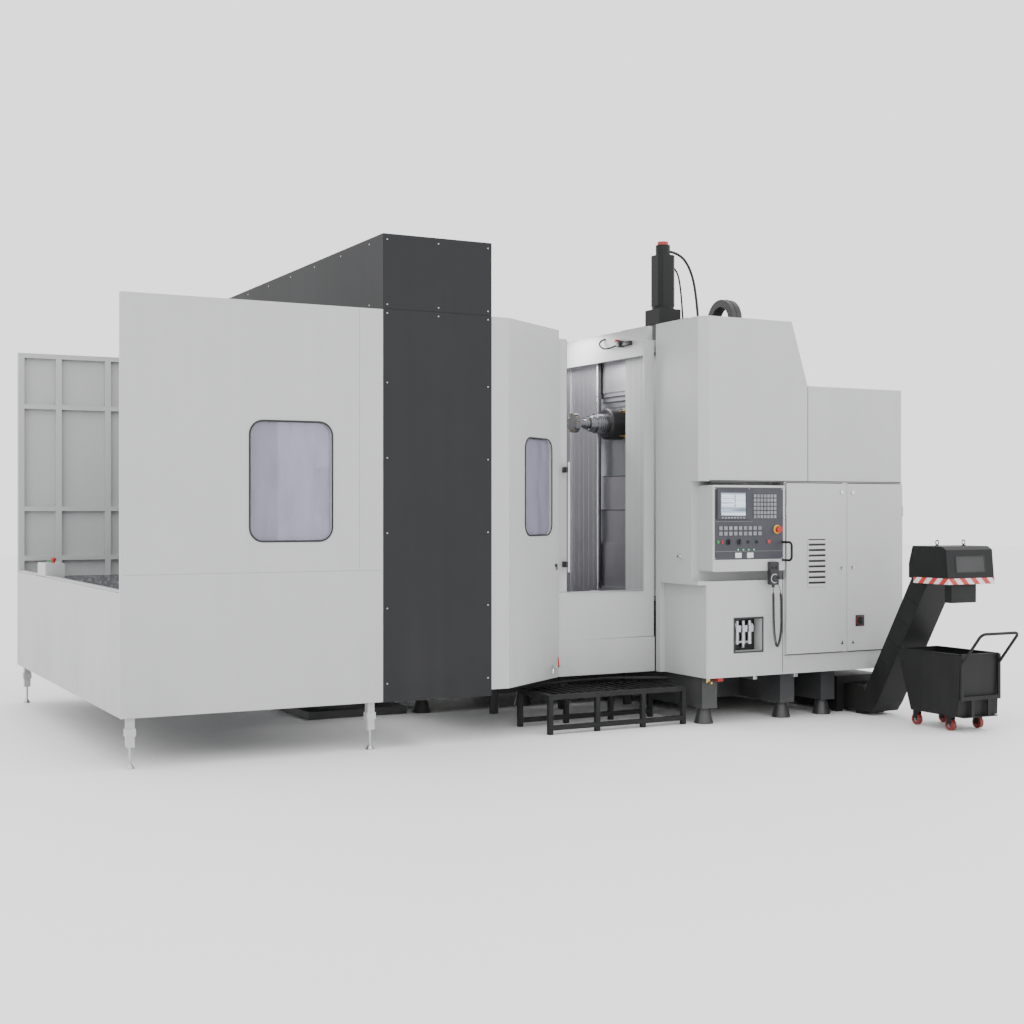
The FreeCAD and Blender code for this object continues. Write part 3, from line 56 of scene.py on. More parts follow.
def show(thing):
    """Put an object into the scene."""
    bpy.context.scene.collection.objects.link(thing)


floor_bm = bmesh.new()
bmesh.ops.create_grid(floor_bm, x_segments=1, y_segments=1, size=45)
floor_mesh = bpy.data.meshes.new("floor")
floor_bm.to_mesh(floor_mesh)
floor = bpy.data.objects.new("floor", floor_mesh)
floor.location.z = -0.002
show(floor)

HEADING = math.radians(27.9)
camera_data = bpy.data.cameras.new("camera")
camera_data.lens = 52.03
camera_data.sensor_width = 36
camera_data.shift_y = -0.002
camera_data.clip_end = 200
camera = bpy.data.objects.new("camera", camera_data)
camera.location = at(-2.195, -9.435, 1.65)
camera.rotation_euler = (math.pi / 2, 0, -HEADING)
show(camera)
bpy.context.scene.camera = camera


def lamp(name, place, aim, size, power):
    """Large soft lamp that looks at a point."""
    data = bpy.data.lights.new(name, "AREA")
    data.shape = "RECTANGLE"
    data.size = size[0]
    data.size_y = size[1]
    data.energy = power
    light = bpy.data.objects.new(name, data)
    light.location = place
    light.rotation_euler = (aim - place).to_track_quat("-Z", "Y").to_euler()
    show(light)


middle = at(3.1, 1.5, 1.4)
lamp("front_lamp", at(0.5, -11, 7.5), middle, (9, 5), 330)
lamp("left_lamp", at(-8, -1, 6), middle, (6, 5), 120)
lamp("right_lamp", at(12, -5, 6), middle, (6, 5), 120)
lamp("top_lamp", at(3, 1, 9), middle, (8, 6), 90)
lamp("room_lamp", at(3.7, 1.6, 2.93), at(4.2, 1.6, 1.6), (0.5, 1.2), 26)
world = bpy.data.worlds.new("studio")
world.use_nodes = True
world.node_tree.nodes["Background"].inputs["Color"].default_value = (1, 1, 1, 1)
world.node_tree.nodes["Background"].inputs["Strength"].default_value = 1.9
bpy.context.scene.world = world


# ---- painted covers ----
# Folded sheet covers in light grey powder coat: a fine orange peel, faint rain-like streaks from wiping,
# and a little grey dust that settles towards the bottom edges.
class Wire:
    """A socket of a material's node tree that can be added, scaled and blended like a number."""

    def __init__(self, tree, socket):
        self.tree = tree
        self.socket = socket

    def maths(self, operation, first, second):
        return add_node(self.tree, "ShaderNodeMath", {"operation": operation}, {0: first, 1: second})

    def __add__(self, other):
        return self.maths("ADD", self, other)

    def __radd__(self, other):
        return self.maths("ADD", other, self)

    def __sub__(self, other):
        return self.maths("SUBTRACT", self, other)

    def __rsub__(self, other):
        return self.maths("SUBTRACT", other, self)

    def __mul__(self, other):
        return self.maths("MULTIPLY", self, other)

    def __rmul__(self, other):
        return self.maths("MULTIPLY", other, self)

    def __gt__(self, other):
        return self.maths("GREATER_THAN", self, other)

    def __mod__(self, other):
        return self.maths("FLOORED_MODULO", self, other)


def add_node(tree, kind, settings, sockets, output=0):
    """Any node: its settings first, then the values or links of its sockets."""
    made = tree.nodes.new(kind)
    for key, value in settings.items():
        setattr(made, key, value)
    for key, value in sockets.items():
        if isinstance(value, Wire):
            tree.links.new(value.socket, made.inputs[key])
        else:
            made.inputs[key].default_value = value
    return Wire(tree, made.outputs[output])


class Finish:
    """A material whose sockets take plain values or wires; every pattern lies on Object coordinates."""

    def __init__(self, name):
        self.material = bpy.data.materials.new(name)
        self.material.use_nodes = True
        self.tree = self.material.node_tree
        self.shader = self.tree.nodes["Principled BSDF"]
        self.spot = self.node("ShaderNodeTexCoord", {}, {}, "Object")

    def node(self, kind, settings, sockets, output=0):
        return add_node(self.tree, kind, settings, sockets, output)

    def noise(self, scale, detail=3.0, stretch=(1, 1, 1), roughness=0.5):
        """Cloudy value from 0 to 1, stretched along the axes."""
        place = self.node("ShaderNodeMapping", {}, {"Vector": self.spot, "Scale": stretch})
        return self.node("ShaderNodeTexNoise", {}, {"Vector": place, "Scale": scale, "Detail": detail,
            "Roughness": roughness})

    def axis(self, name):
        """One coordinate of the spot, in metres."""
        return self.node("ShaderNodeSeparateXYZ", {}, {0: self.spot}, name)

    def blend(self, share, first, second):
        """Colour between two colours."""
        return self.node("ShaderNodeMix", {"data_type": "RGBA"}, {0: share, 6: first, 7: second}, 2)

    def ramp(self, value, low, high):
        """Value from 0 at low to 1 at high."""
        return self.node("ShaderNodeMapRange", {}, {"Value": value, "From Min": low, "From Max": high})

    def set(self, **sockets):
        """Set or link the shader's sockets; underscores stand for spaces."""
        for key, value in sockets.items():
            socket = self.shader.inputs[key.replace("_", " ")]
            if isinstance(value, Wire):
                self.tree.links.new(value.socket, socket)
            else:
                socket.default_value = value
        return self.material

    def bump(self, height, strength, distance):
        """Normal from a height value."""
        return self.node("ShaderNodeBump", {}, {"Height": height, "Strength": strength, "Distance": distance})


def colour(r, g, b):
    """Opaque colour."""
    return (r, g, b, 1.0)


def powder_coat(name, light, dark, roughness, peel):
    """Sprayed and baked paint with orange peel, wiping streaks and dust near the floor."""
    f = Finish(name)
    cloud = f.noise(1.3, 4.0)
    streak = f.noise(9.0, 4.0, (1, 1, 0.07))
    low_dust = 1 - f.ramp(f.axis("Z"), 0.25, 1.1)
    dirt = f.ramp(cloud * 0.6 + streak * 0.4, 0.42, 0.72) * (0.35 + low_dust * 0.5)
    grain = f.noise(420.0, 2.0)
    f.set(Base_Color=f.blend(dirt, light, dark), Roughness=roughness + dirt * 0.14 + grain * 0.05,
        Normal=f.bump(grain, peel, 0.0006), Specular_IOR_Level=0.45)
    return f.material


WHITE = powder_coat("light_grey_powder_coat", colour(0.430, 0.434, 0.436), colour(0.365, 0.370, 0.373), 0.36,
    0.10)
CHARCOAL = powder_coat("charcoal_powder_coat", colour(0.016, 0.0165, 0.018), colour(0.027, 0.027, 0.028),
    0.52, 0.35)
BLACK_PAINT = powder_coat("black_machine_enamel", colour(0.009, 0.0095, 0.010), colour(0.024, 0.023, 0.022),
    0.44, 0.30)
for dark_coat in (CHARCOAL, BLACK_PAINT):
    dark_coat.node_tree.nodes["Principled BSDF"].inputs["Specular IOR Level"].default_value = 0.22


def coat_node(material, *names):
    """Give CAD nodes a finish in place of the plain one they come with."""
    for name in names:
        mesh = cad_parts[name].data
        mesh.materials.clear()
        mesh.materials.append(material)


coat_node(WHITE, "leg_posts", "setup_front_wall", "setup_end_wall", "setup_rear_wall", "changer_partition",
    "angled_cover", "door_frame", "sliding_door", "spindle_room_wall", "side_cover", "electrical_cabinet",
    "left_cabinet_door", "right_cabinet_door", "rear_cover", "console_housing")
coat_node(CHARCOAL, "shutter_tower")
coat_node(BLACK_PAINT, "chip_tank", "conveyor_trough", "conveyor_hood", "conveyor_gearmotor", "cart_hopper",
    "cart_frame", "step_platform", "axis_motor", "grab_handle")


# ---- castings ----
# Bed, pedestal, hub, saddle and column are grey iron castings with a pebbled sand skin under dark enamel.
# Their scraped and ground ways stay bare under a film of oil.
def sand_casting(name, light, dark):
    """Enamelled casting: coarse pebble skin, runs and oil stains."""
    f = Finish(name)
    skin = f.noise(150.0, 5.0)
    lumps = f.noise(24.0, 3.0)
    stain = f.ramp(f.noise(3.0, 5.0), 0.45, 0.75)
    f.set(Base_Color=f.blend(stain, light, dark), Roughness=0.38 + stain * 0.25 + skin * 0.08,
        Normal=f.bump(skin * 0.6 + lumps * 0.8, 0.5, 0.0015))
    return f.material


IRON = sand_casting("enamelled_cast_iron", colour(0.030, 0.032, 0.034), colour(0.062, 0.060, 0.056))
coat_node(IRON, "machine_bed", "changer_pedestal", "changer_hub", "table_saddle", "column")


def ground_metal(name, light, dark, roughness, scale, stretch, metallic=1.0):
    """Bare metal with fine grinding marks, wear cloud and finger smears."""
    f = Finish(name)
    marks = f.noise(scale, 4.0, stretch, 0.6)
    cloud = f.noise(5.0, 4.0)
    smear = f.ramp(cloud, 0.4, 0.8)
    f.set(Base_Color=f.blend(marks * 0.7 + smear * 0.3, light, dark), Metallic=metallic,
        Roughness=roughness + marks * 0.12 + smear * 0.10, Normal=f.bump(marks, 0.12, 0.0004))
    return f.material


STEEL = ground_metal("ground_steel", colour(0.56, 0.57, 0.59), colour(0.40, 0.41, 0.43), 0.24, 160.0,
    (1, 0.06, 1))
COVER_STEEL = ground_metal("brushed_cover_steel", colour(0.62, 0.61, 0.65), colour(0.47, 0.46, 0.50), 0.28,
    90.0, (1, 1, 0.05))
CHROME = ground_metal("polished_chrome", colour(0.80, 0.80, 0.81), colour(0.66, 0.66, 0.68), 0.10, 600.0,
    (1, 1, 1))
TOOL_STEEL = ground_metal("ground_tool_steel", colour(0.42, 0.42, 0.43), colour(0.28, 0.28, 0.29), 0.22,
    500.0, (0.08, 1, 1))
BLACK_OXIDE = ground_metal("black_oxide_steel", colour(0.022, 0.022, 0.024), colour(0.045, 0.044, 0.046),
    0.34, 120.0, (0.08, 1, 1), 0.4)
BRASS = ground_metal("machined_brass", colour(0.72, 0.50, 0.20), colour(0.50, 0.33, 0.12), 0.25, 120.0,
    (1, 1, 0.1))
coat_node(STEEL, "lift_column", "pallets", "rotary_table", "spindle_head", "tool_magazine",
    "air_service_unit")
coat_node(COVER_STEEL, "cross_leaf_third", "cross_leaf_two_thirds", "upright_leaf_third",
    "upright_leaf_two_thirds", "column_frame", "door_handle")
coat_node(TOOL_STEEL, "spindle_nose", "face_mill")
coat_node(BLACK_OXIDE, "spindle_housing")

feet = Finish("levelling_feet_steel_and_black")
under_machine = feet.axis("X") > at(1.85, 0, 0).x
scratch = feet.noise(160.0, 4.0, (1, 1, 0.1))
FEET = feet.set(Base_Color=feet.blend(under_machine, feet.blend(scratch, colour(0.56, 0.57, 0.59),
    colour(0.40, 0.41, 0.43)), feet.blend(scratch, colour(0.016, 0.017, 0.018), colour(0.04, 0.04, 0.04))),
    Metallic=1 - under_machine, Roughness=0.28 + scratch * 0.12)
coat_node(FEET, "levelling_feet")


# ---- plastics, rubber and glass ----
# Control panel mouldings, keys and knobs have a fine spark-eroded grain; gaskets and cords are matt rubber.
# The panes are tinted laminated polycarbonate with a lavender cast.
def moulding(name, light, dark, roughness, grain_scale, depth):
    """Moulded part with a fine even grain and a faint sheen change."""
    f = Finish(name)
    grain = f.noise(grain_scale, 2.0)
    cloud = f.ramp(f.noise(7.0, 3.0), 0.35, 0.75)
    f.set(Base_Color=f.blend(cloud, light, dark), Roughness=roughness + cloud * 0.10,
        Normal=f.bump(grain, depth, 0.0004))
    return f.material


PANEL_GREY = moulding("dark_panel_moulding", colour(0.030, 0.031, 0.042), colour(0.042, 0.043, 0.054), 0.42,
    900.0, 0.2)
KEY_GREY = moulding("grey_key_caps", colour(0.23, 0.23, 0.25), colour(0.15, 0.15, 0.165), 0.45, 700.0, 0.15)
BLACK_PLASTIC = moulding("black_moulding", colour(0.014, 0.014, 0.016), colour(0.026, 0.026, 0.028), 0.38,
    700.0, 0.2)
RED_PLASTIC = moulding("red_moulding", colour(0.42, 0.018, 0.014), colour(0.33, 0.014, 0.012), 0.28, 500.0,
    0.08)
YELLOW_PLASTIC = moulding("yellow_moulding", colour(0.78, 0.48, 0.02), colour(0.66, 0.40, 0.02), 0.32, 500.0,
    0.08)
GREEN_PLASTIC = moulding("green_moulding", colour(0.02, 0.28, 0.07), colour(0.015, 0.22, 0.06), 0.32, 500.0,
    0.08)
WHITE_PLASTIC = moulding("white_moulding", colour(0.62, 0.62, 0.63), colour(0.54, 0.54, 0.55), 0.40, 500.0,
    0.08)
RUBBER = moulding("matt_black_rubber", colour(0.012, 0.012, 0.013), colour(0.024, 0.024, 0.024), 0.66, 260.0,
    0.3)
WHEEL_RED = moulding("dark_red_tread", colour(0.24, 0.025, 0.022), colour(0.15, 0.020, 0.018), 0.45, 200.0,
    0.3)
coat_node(PANEL_GREY, "console_panel")
coat_node(KEY_GREY, "console_keys")
coat_node(BLACK_PLASTIC, "main_switch", "feed_knob", "spindle_knob", "handwheel_pendant", "cable_chain")
coat_node(RED_PLASTIC, "estop_button")
coat_node(RUBBER, "handwheel_cord")
coat_node(WHEEL_RED, "cart_wheels_front", "cart_wheels_rear")

pane = Finish("lavender_laminated_pane")
haze = pane.noise(14.0, 4.0, (1, 1, 0.3))
PANE = pane.set(Base_Color=pane.blend(pane.ramp(haze, 0.35, 0.8), colour(0.56, 0.55, 0.70),
    colour(0.48, 0.47, 0.60)), Roughness=0.04 + haze * 0.04, Transmission_Weight=0.70, IOR=1.45)
coat_node(PANE, "fixed_windows", "door_window")


# ---- chip tray ----
# The setup bay's floor is a folded tray in grey paint, laid under the pallet station. Chips have scuffed it,
# and it is darker where coolant has dried.
tray = Finish("scuffed_tray_paint")
scuff = tray.ramp(tray.noise(38.0, 6.0, (1, 0.3, 1)), 0.48, 0.70)
dried = tray.ramp(tray.noise(2.2, 5.0), 0.40, 0.70)
TRAY = tray.set(Base_Color=tray.blend(scuff, tray.blend(dried, colour(0.115, 0.12, 0.13),
    colour(0.06, 0.063, 0.07)), colour(0.21, 0.215, 0.225)), Roughness=0.34 + dried * 0.3,
    Normal=tray.bump(scuff, 0.3, 0.0006))
coat_node(TRAY, "setup_floor")
floor_finish = Finish("pale_floor")
floor_finish.set(Base_Color=floor_finish.blend(floor_finish.noise(0.8, 3.0), colour(0.90, 0.90, 0.90),
    colour(0.93, 0.93, 0.93)), Roughness=0.6)
floor_mesh.materials.append(floor_finish.material)


# ---- loading bay panels ----
# The tall front of the loading bay is skinned with pressed sheets that meet at narrow shadow gaps,
# screwed to the frame behind, and its window sits in a black rubber gasket.
def smooth(mesh, angle=35):
    """Round faces shade smoothly and folds stay sharp."""
    for face in mesh.polygons:
        face.use_smooth = True
    mesh.set_sharp_from_angle(angle=math.radians(angle))


def piece(bm, name, material, body="machine"):
    """Finished piece: its mesh, its finish, and the body that carries it."""
    bmesh.ops.recalc_face_normals(bm, faces=bm.faces)
    mesh = bpy.data.meshes.new(name)
    bm.to_mesh(mesh)
    bm.free()
    smooth(mesh)
    mesh.materials.append(material)
    made = bpy.data.objects.new(name, mesh)
    show(made)
    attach(made, body)
    return made


def soften(bm, verts, width, segments=2):
    """Small bevel round every edge of the given vertices."""
    edges = list(dict.fromkeys(edge for vert in verts for edge in vert.link_edges))
    bmesh.ops.bevel(bm, geom=edges, offset=width, offset_type="OFFSET", segments=segments, profile=0.5,
        affect="EDGES", material=-1, clamp_overlap=True)


def block(bm, low, high, edge=0.0):
    """Block between two corners, its edges broken."""
    low, high = Vector(low), Vector(high)
    made = bmesh.ops.create_cube(bm, size=1)["verts"]
    bmesh.ops.scale(bm, vec=high - low, verts=made)
    bmesh.ops.translate(bm, vec=(low + high) / 2, verts=made)
    if edge:
        soften(bm, made, edge)


def bar(bm, start, end, radius, tip=None, sides=20, edge=0.0):
    """Turned bar or cone between two points, its rims broken."""
    start, end = Vector(start), Vector(end)
    axis = end - start
    made = bmesh.ops.create_cone(bm, cap_ends=True, segments=sides, radius1=radius,
        radius2=radius if tip is None else tip, depth=axis.length)["verts"]
    turn = Vector((0, 0, 1)).rotation_difference(axis).to_matrix().to_4x4()
    bmesh.ops.transform(bm, matrix=Matrix.Translation((start + end) / 2) @ turn, verts=made)
    if edge:
        edges = dict.fromkeys(e for v in made for e in v.link_edges)
        rims = [e for e in edges if len(e.link_faces) == 2 and max(len(f.verts) for f in e.link_faces) > 4]
        bmesh.ops.bevel(bm, geom=rims, offset=edge, offset_type="OFFSET", segments=2, profile=0.5,
            affect="EDGES", material=-1, clamp_overlap=True)


def screws(bm, places, facing, radius=0.006, height=0.003):
    """Pan-head screws with a recess, one at each place, that stand on the sheet."""
    facing = Vector(facing)
    for place in places:
        place = Vector(place)
        bar(bm, place, place + facing * height, radius, radius * 0.75, 12)
        bar(bm, place + facing * height * 0.95, place + facing * height * 1.08, radius * 0.35, radius * 0.35,
            6)


def blocks(name, material, boxes, edge=0.0, body="machine"):
    """Piece made of blocks alone, each from a low to a high corner."""
    bm = bmesh.new()
    for low, high in boxes:
        block(bm, low, high, edge)
    return piece(bm, name, material, body)


def bars(name, material, rows, body="machine"):
    """Piece made of bars alone; a row is its ends, radii, sides and edge."""
    bm = bmesh.new()
    for row in rows:
        bar(bm, *row)
    return piece(bm, name, material, body)


def screw_rows(name, *rows, material=None, body="machine", slot="steel"):
    """Piece made of screws alone; a row is its places, facing, radius and height."""
    bm = bmesh.new()
    for row in rows:
        screws(bm, *row)
    return piece(bm, name, material or STEEL, body)


def thicken(bm, faces, depth):
    """Give flat faces a depth."""
    raised = bmesh.ops.extrude_face_region(bm, geom=faces)["geom"]
    bmesh.ops.translate(bm, vec=depth, verts=[g for g in raised if isinstance(g, bmesh.types.BMVert)])


FRONT = Vector((0, -1, 0))
LEFT = Vector((-1, 0, 0))


def rounded_outline(bm, centre, across, up, width, height, radius, corner_steps=6):
    """Closed loop of a rectangle with round corners; returns its vertices in order."""
    loop = []
    for quarter, (sx, sz) in enumerate(((1, 1), (-1, 1), (-1, -1), (1, -1))):
        for step in range(corner_steps + 1):
            turn = math.pi / 2 * (quarter + step / corner_steps)
            u = sx * (width / 2 - radius) + radius * math.cos(turn)
            v = sz * (height / 2 - radius) + radius * math.sin(turn)
            loop.append(bm.verts.new(centre + across * u + up * v))
    return loop


def gasket(bm, centre, across, up, width, height, radius, lip, depth):
    """Rounded rubber lip that frames a pane, standing out along across x up."""
    out = across.cross(up)
    rings = [rounded_outline(bm, centre + out * reach, across, up, width - 2 * inset, height - 2 * inset,
        radius - inset) for reach, inset in ((0, 0), (depth, lip * 0.25), (depth, lip * 0.75), (0, lip))]
    made = []
    for first, second in zip(rings, rings[1:] + rings[:1]):
        for i in range(len(first)):
            after = (i + 1) % len(first)
            made.append(bm.faces.new((first[i], first[after], second[after], second[i])))
    bmesh.ops.recalc_face_normals(bm, faces=made)


def sheet_panel(bm, low, high, thickness, hole=None):
    """Flat panel in the XZ plane in front of y, with an optional rounded hole; low and high are (x, y, z)."""
    corners = [bm.verts.new(Vector(c)) for c in ((low[0], low[1], low[2]), (high[0], low[1], low[2]),
        (high[0], low[1], high[2]), (low[0], low[1], high[2]))]
    edges = [bm.edges.new((corners[i], corners[(i + 1) % 4])) for i in range(4)]
    if hole:
        loop = rounded_outline(bm, hole[0], Vector((1, 0, 0)), Vector((0, 0, 1)), hole[1], hole[2], hole[3])
        edges += [bm.edges.new((loop[i], loop[(i + 1) % len(loop)])) for i in range(len(loop))]
        faces = [g for g in bmesh.ops.triangle_fill(bm, use_beauty=True, edges=edges)["geom"] if isinstance(g,
            bmesh.types.BMFace)]
    else:
        faces = [bm.faces.new(corners)]
    thicken(bm, faces, (0, -thickness, 0))


bay_low, bay_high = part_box("setup_front_wall")
tower_low, tower_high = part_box("shutter_tower")
SKIN = 0.0025                    # thickness of a pressed cover sheet
SHADOW = 0.004                   # gap between two cover sheets
SEAM_Z = 1.235                   # height of the seam across the loading bay
STRIP_X = 1.62                   # seam beside the tower
window_middle = at(1.1325, 0, 1.8415)
WINDOW = (0.575, 0.797, 0.09)    # width, height and corner radius of the pane
wall_y = bay_low.y
bm = bmesh.new()
strip = at(STRIP_X, 0, 0).x
top_low = (bay_low.x + 0.002, wall_y, SEAM_Z + SHADOW / 2)
sheet_panel(bm, top_low, (strip - SHADOW / 2, wall_y, bay_high.z - 0.002), SKIN,
    (Vector((window_middle.x, wall_y, window_middle.z)), WINDOW[0] + 0.012, WINDOW[1] + 0.012,
    WINDOW[2] + 0.006))
sheet_panel(bm, (strip + SHADOW / 2, wall_y, SEAM_Z + SHADOW / 2),
    (tower_low.x - 0.003, wall_y, bay_high.z - 0.002), SKIN)
sheet_panel(bm, (bay_low.x + 0.002, wall_y, bay_low.z + 0.002),
    (tower_low.x - 0.003, wall_y, SEAM_Z - SHADOW / 2), SKIN)
piece(bm, "bay_front_sheets", WHITE)
bm = bmesh.new()
gasket(bm, Vector((window_middle.x, wall_y - SKIN - 0.0005, window_middle.z)), Vector((1, 0, 0)),
    Vector((0, 0, 1)), WINDOW[0] + 0.018, WINDOW[1] + 0.018, WINDOW[2] + 0.009, 0.013, 0.007)
piece(bm, "bay_window_gasket", RUBBER)
screw_rows("bay_front_screws", ([(bay_low.x + 0.03 + i * 0.31, wall_y - SKIN, z) for i in range(6)
    for z in (bay_low.z + 0.03, SEAM_Z - 0.03, SEAM_Z + 0.03, bay_high.z - 0.03)], FRONT, 0.0045, 0.002))

# ---- loading bay end wall ----
# The low sheet wall at the end is closed by a folded rail along its top. Its welded button box carries a red
# stop button and green push buttons.
box_middle = at(0.08, 2.715, 1.23)
bars("bay_stop_button", RED_PLASTIC, [(box_middle + Vector((0, -0.09, 0)), box_middle + Vector((0, -0.09,
    0.022)), 0.012, None, 20), (box_middle + Vector((0, -0.09, 0.022)), box_middle + Vector((0, -0.09,
    0.042)), 0.022, 0.019, 28, 0.004)])
bm = bmesh.new()
for step, width in ((0.0, 0.030), (0.07, 0.024), (0.12, 0.024)):
    bar(bm, box_middle + Vector((0, step, 0)), box_middle + Vector((0, step, 0.012)), 0.015, 0.014, 24, 0.001)
piece(bm, "bay_push_buttons", GREEN_PLASTIC)
blocks("bay_top_rail", WHITE, ((at(0.006, 0.06, 1.120), at(0.048, 2.53, 1.135)),
    (at(0.006, 2.90, 1.120), at(0.048, 3.74, 1.135))), 0.003)

# ---- dark tower ----
# The tower that houses the swinging partition has charcoal sheets over its frame: a deep head box above
# a plain front, with rows of small bright screws at the sheet edges.
HEAD_SEAM = 3.04                 # seam under the tower's head box
bm = bmesh.new()
front_y = tower_low.y
sheet_panel(bm, (tower_low.x + 0.001, front_y, tower_low.z + 0.002), (tower_high.x - 0.001, front_y,
    HEAD_SEAM - SHADOW / 2), SKIN)
sheet_panel(bm, (tower_low.x + 0.001, front_y, HEAD_SEAM + SHADOW / 2), (tower_high.x - 0.001, front_y,
    tower_high.z - 0.001), SKIN)
piece(bm, "tower_front_sheets", CHARCOAL)
bm = bmesh.new()
edge_rows = [(x, front_y - SKIN, HEAD_SEAM + dz) for x in (tower_low.x + 0.03,
    (tower_low.x + tower_high.x) / 2, tower_high.x - 0.03) for dz in (-0.03, 0.03, 0.48)]
edge_rows += [(x, front_y - SKIN, 0.45 + i * 0.52) for x in (tower_low.x + 0.03, tower_high.x - 0.03)
    for i in range(5)]
screws(bm, edge_rows, FRONT, 0.006, 0.0025)
for x, facing in ((tower_low.x, LEFT), (tower_high.x, -LEFT)):
    screws(bm, [(x, at(0, 0.25 + i * 0.55, 0).y, z) for i in range(7) for z in (3.09, 3.52)], facing, 0.006,
        0.0025)
piece(bm, "tower_screws", STEEL)

# ---- angled cover ----
# A flat strip turns into the slanting cover that leads to the door. It has a tall gasketed pane, a small
# latch, and low down a drain cock with a red lever and a bent chrome spout.
SLANT_START = at(2.775, 0, 0)
SLANT_END = at(3.480, 0.485, 0)
slant = (SLANT_END - SLANT_START).normalized()
slant_out = slant.cross(Vector((0, 0, 1)))
slant_length = (SLANT_END - SLANT_START).length


def on_slant(share, z, proud=0.0):
    """Point on the slanting cover's face."""
    return SLANT_START + slant * slant_length * share + slant_out * proud + Vector((0, 0, z))


bm = bmesh.new()
gasket(bm, on_slant(0.56, 1.8225, 0.0005), slant, Vector((0, 0, 1)), 0.457, 0.737, 0.091, 0.012, 0.006)
piece(bm, "slant_window_gasket", RUBBER)
bm = bmesh.new()
bar(bm, on_slant(0.90, 1.225), on_slant(0.90, 1.225, 0.012), 0.013, 0.012, 20, 0.001)
block(bm, on_slant(0.90, 1.19, 0.010) - Vector((0.006, 0.006, 0)), on_slant(0.90, 1.235, 0.018), 0.002)
piece(bm, "slant_latch", BLACK_OXIDE)
bm = bmesh.new()
cock = on_slant(0.83, 0.455)
bar(bm, cock, cock + slant_out * 0.05, 0.010, sides=16, edge=0.001)
valve = cock + slant_out * 0.045
bar(bm, valve - slant * 0.03, valve + slant * 0.035, 0.012, 0.012, 6)
bar(bm, valve - slant * 0.03, valve - slant * 0.075 - Vector((0, 0, 0.012)), 0.008, 0.007, 14, 0.001)
bar(bm, valve - slant * 0.072 - Vector((0, 0, 0.008)), valve - slant * 0.078 - Vector((0, 0, 0.045)), 0.007,
    0.008, 14, 0.001)
piece(bm, "drain_cock", CHROME)
bm = bmesh.new()
lever = cock + slant_out * 0.052 + slant * 0.01
bar(bm, lever, lever + Vector((0, 0, 0.075)) - slant * 0.012, 0.006, 0.004, 12, 0.001)
piece(bm, "drain_lever", RED_PLASTIC)
screw_rows("slant_screws", ([on_slant(0.03, 0.42 + i * 0.50) for i in range(6)], slant_out, 0.0045, 0.002),
    ([on_slant(0.97, 0.42 + i * 0.50) for i in range(6)], slant_out, 0.0045, 0.002),
    ([at(2.66, 0, 0.42 + i * 0.50) for i in range(6)], FRONT, 0.0045, 0.002))

# ---- door and its frame ----
# The sliding door hangs in front of the machining room. Its pane has a gasket, its long pull bar stands on
# black brackets, a rubber lip seals its leading edge, and a bare steel strip protects the sill.
door_low, door_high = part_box("sliding_door")
bar_low, bar_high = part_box("door_handle")
pane_low, pane_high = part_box("door_window")
bm = bmesh.new()
gasket(bm, Vector(((pane_low.x + pane_high.x) / 2, door_low.y - 0.0005, (pane_low.z + pane_high.z) / 2)),
    Vector((1, 0, 0)), Vector((0, 0, 1)), pane_high.x - pane_low.x + 0.022, pane_high.z - pane_low.z + 0.022,
    0.089, 0.011, 0.006)
piece(bm, "door_gasket", RUBBER, "door")
blocks("pull_bar_brackets", BLACK_PLASTIC, [((bar_low.x - 0.014, bar_low.y + 0.004, z - 0.022),
    (bar_high.x - 0.004, door_low.y, z + 0.022)) for z in (bar_low.z + 0.060, bar_high.z - 0.060)], 0.004,
    "door")
blocks("door_edge_seal", RUBBER, [((door_high.x, door_low.y + 0.004, door_low.z + 0.01),
    (door_high.x + 0.006, door_high.y - 0.004, door_high.z - 0.01))], 0.002, "door")
bm = bmesh.new()
for x in (door_low.x + 0.10, door_high.x - 0.10):
    block(bm, (x - 0.05, door_high.y, door_high.z - 0.10), (x + 0.05, door_high.y + 0.012,
        door_high.z - 0.01), 0.002)
    bar(bm, (x, door_high.y + 0.012, door_high.z - 0.03), (x, door_high.y + 0.036, door_high.z - 0.03), 0.022,
        0.022, 24, 0.003)
piece(bm, "door_hangers", STEEL, "door")
frame_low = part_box("door_frame")[0]
SILL_Z = 1.010                   # top of the sill
bm = bmesh.new()
block(bm, (at(3.56, 0, 0).x, frame_low.y - 0.002, SILL_Z), (at(4.245, 0, 0).x, door_low.y - 0.004,
    SILL_Z + 0.003), 0.001)
block(bm, (at(3.46, 0, 0).x, at(0, 0.483, 0).y, 0.642), (at(4.335, 0, 0).x, at(0, 0.4845, 0).y, 0.646))
piece(bm, "sill_strip", STEEL)
screw_rows("door_frame_screws", ([at(x, 0.485, z) for x in (3.52, 3.78, 4.04, 4.30) for z in (0.70, 0.96)],
    FRONT, 0.0045, 0.002), ([at(4.295, 0.485, 1.12 + i * 0.34) for i in range(6)], FRONT, 0.0045, 0.002))

# ---- machining room ----
# Sloped chip pans either side of the table, and a header over the sheet covers with a work lamp on a
# bracket and its bent conduit.
bm = bmesh.new()
for y_high, y_low in ((0.60, 1.47), (3.70, 2.53)):
    corners = [at(2.88, y_high, 0.995), at(4.33, y_high, 0.995), at(4.33, y_low, 0.84), at(2.88, y_low, 0.84)]
    sheet = bm.faces.new([bm.verts.new(c) for c in corners])
    thicken(bm, [sheet], (0, 0, -0.003))
piece(bm, "chip_pans", TRAY)


def hand_line(name, points, smoothness):
    """Smooth line through given points, as curve data."""
    curve = bpy.data.curves.new(name, "CURVE")
    curve.dimensions = "3D"
    curve.resolution_u = smoothness
    spline = curve.splines.new("NURBS")
    spline.points.add(len(points) - 1)
    for knot, place in zip(spline.points, points):
        knot.co = (*place, 1)
    spline.order_u = 3
    spline.use_endpoint_u = True
    return curve


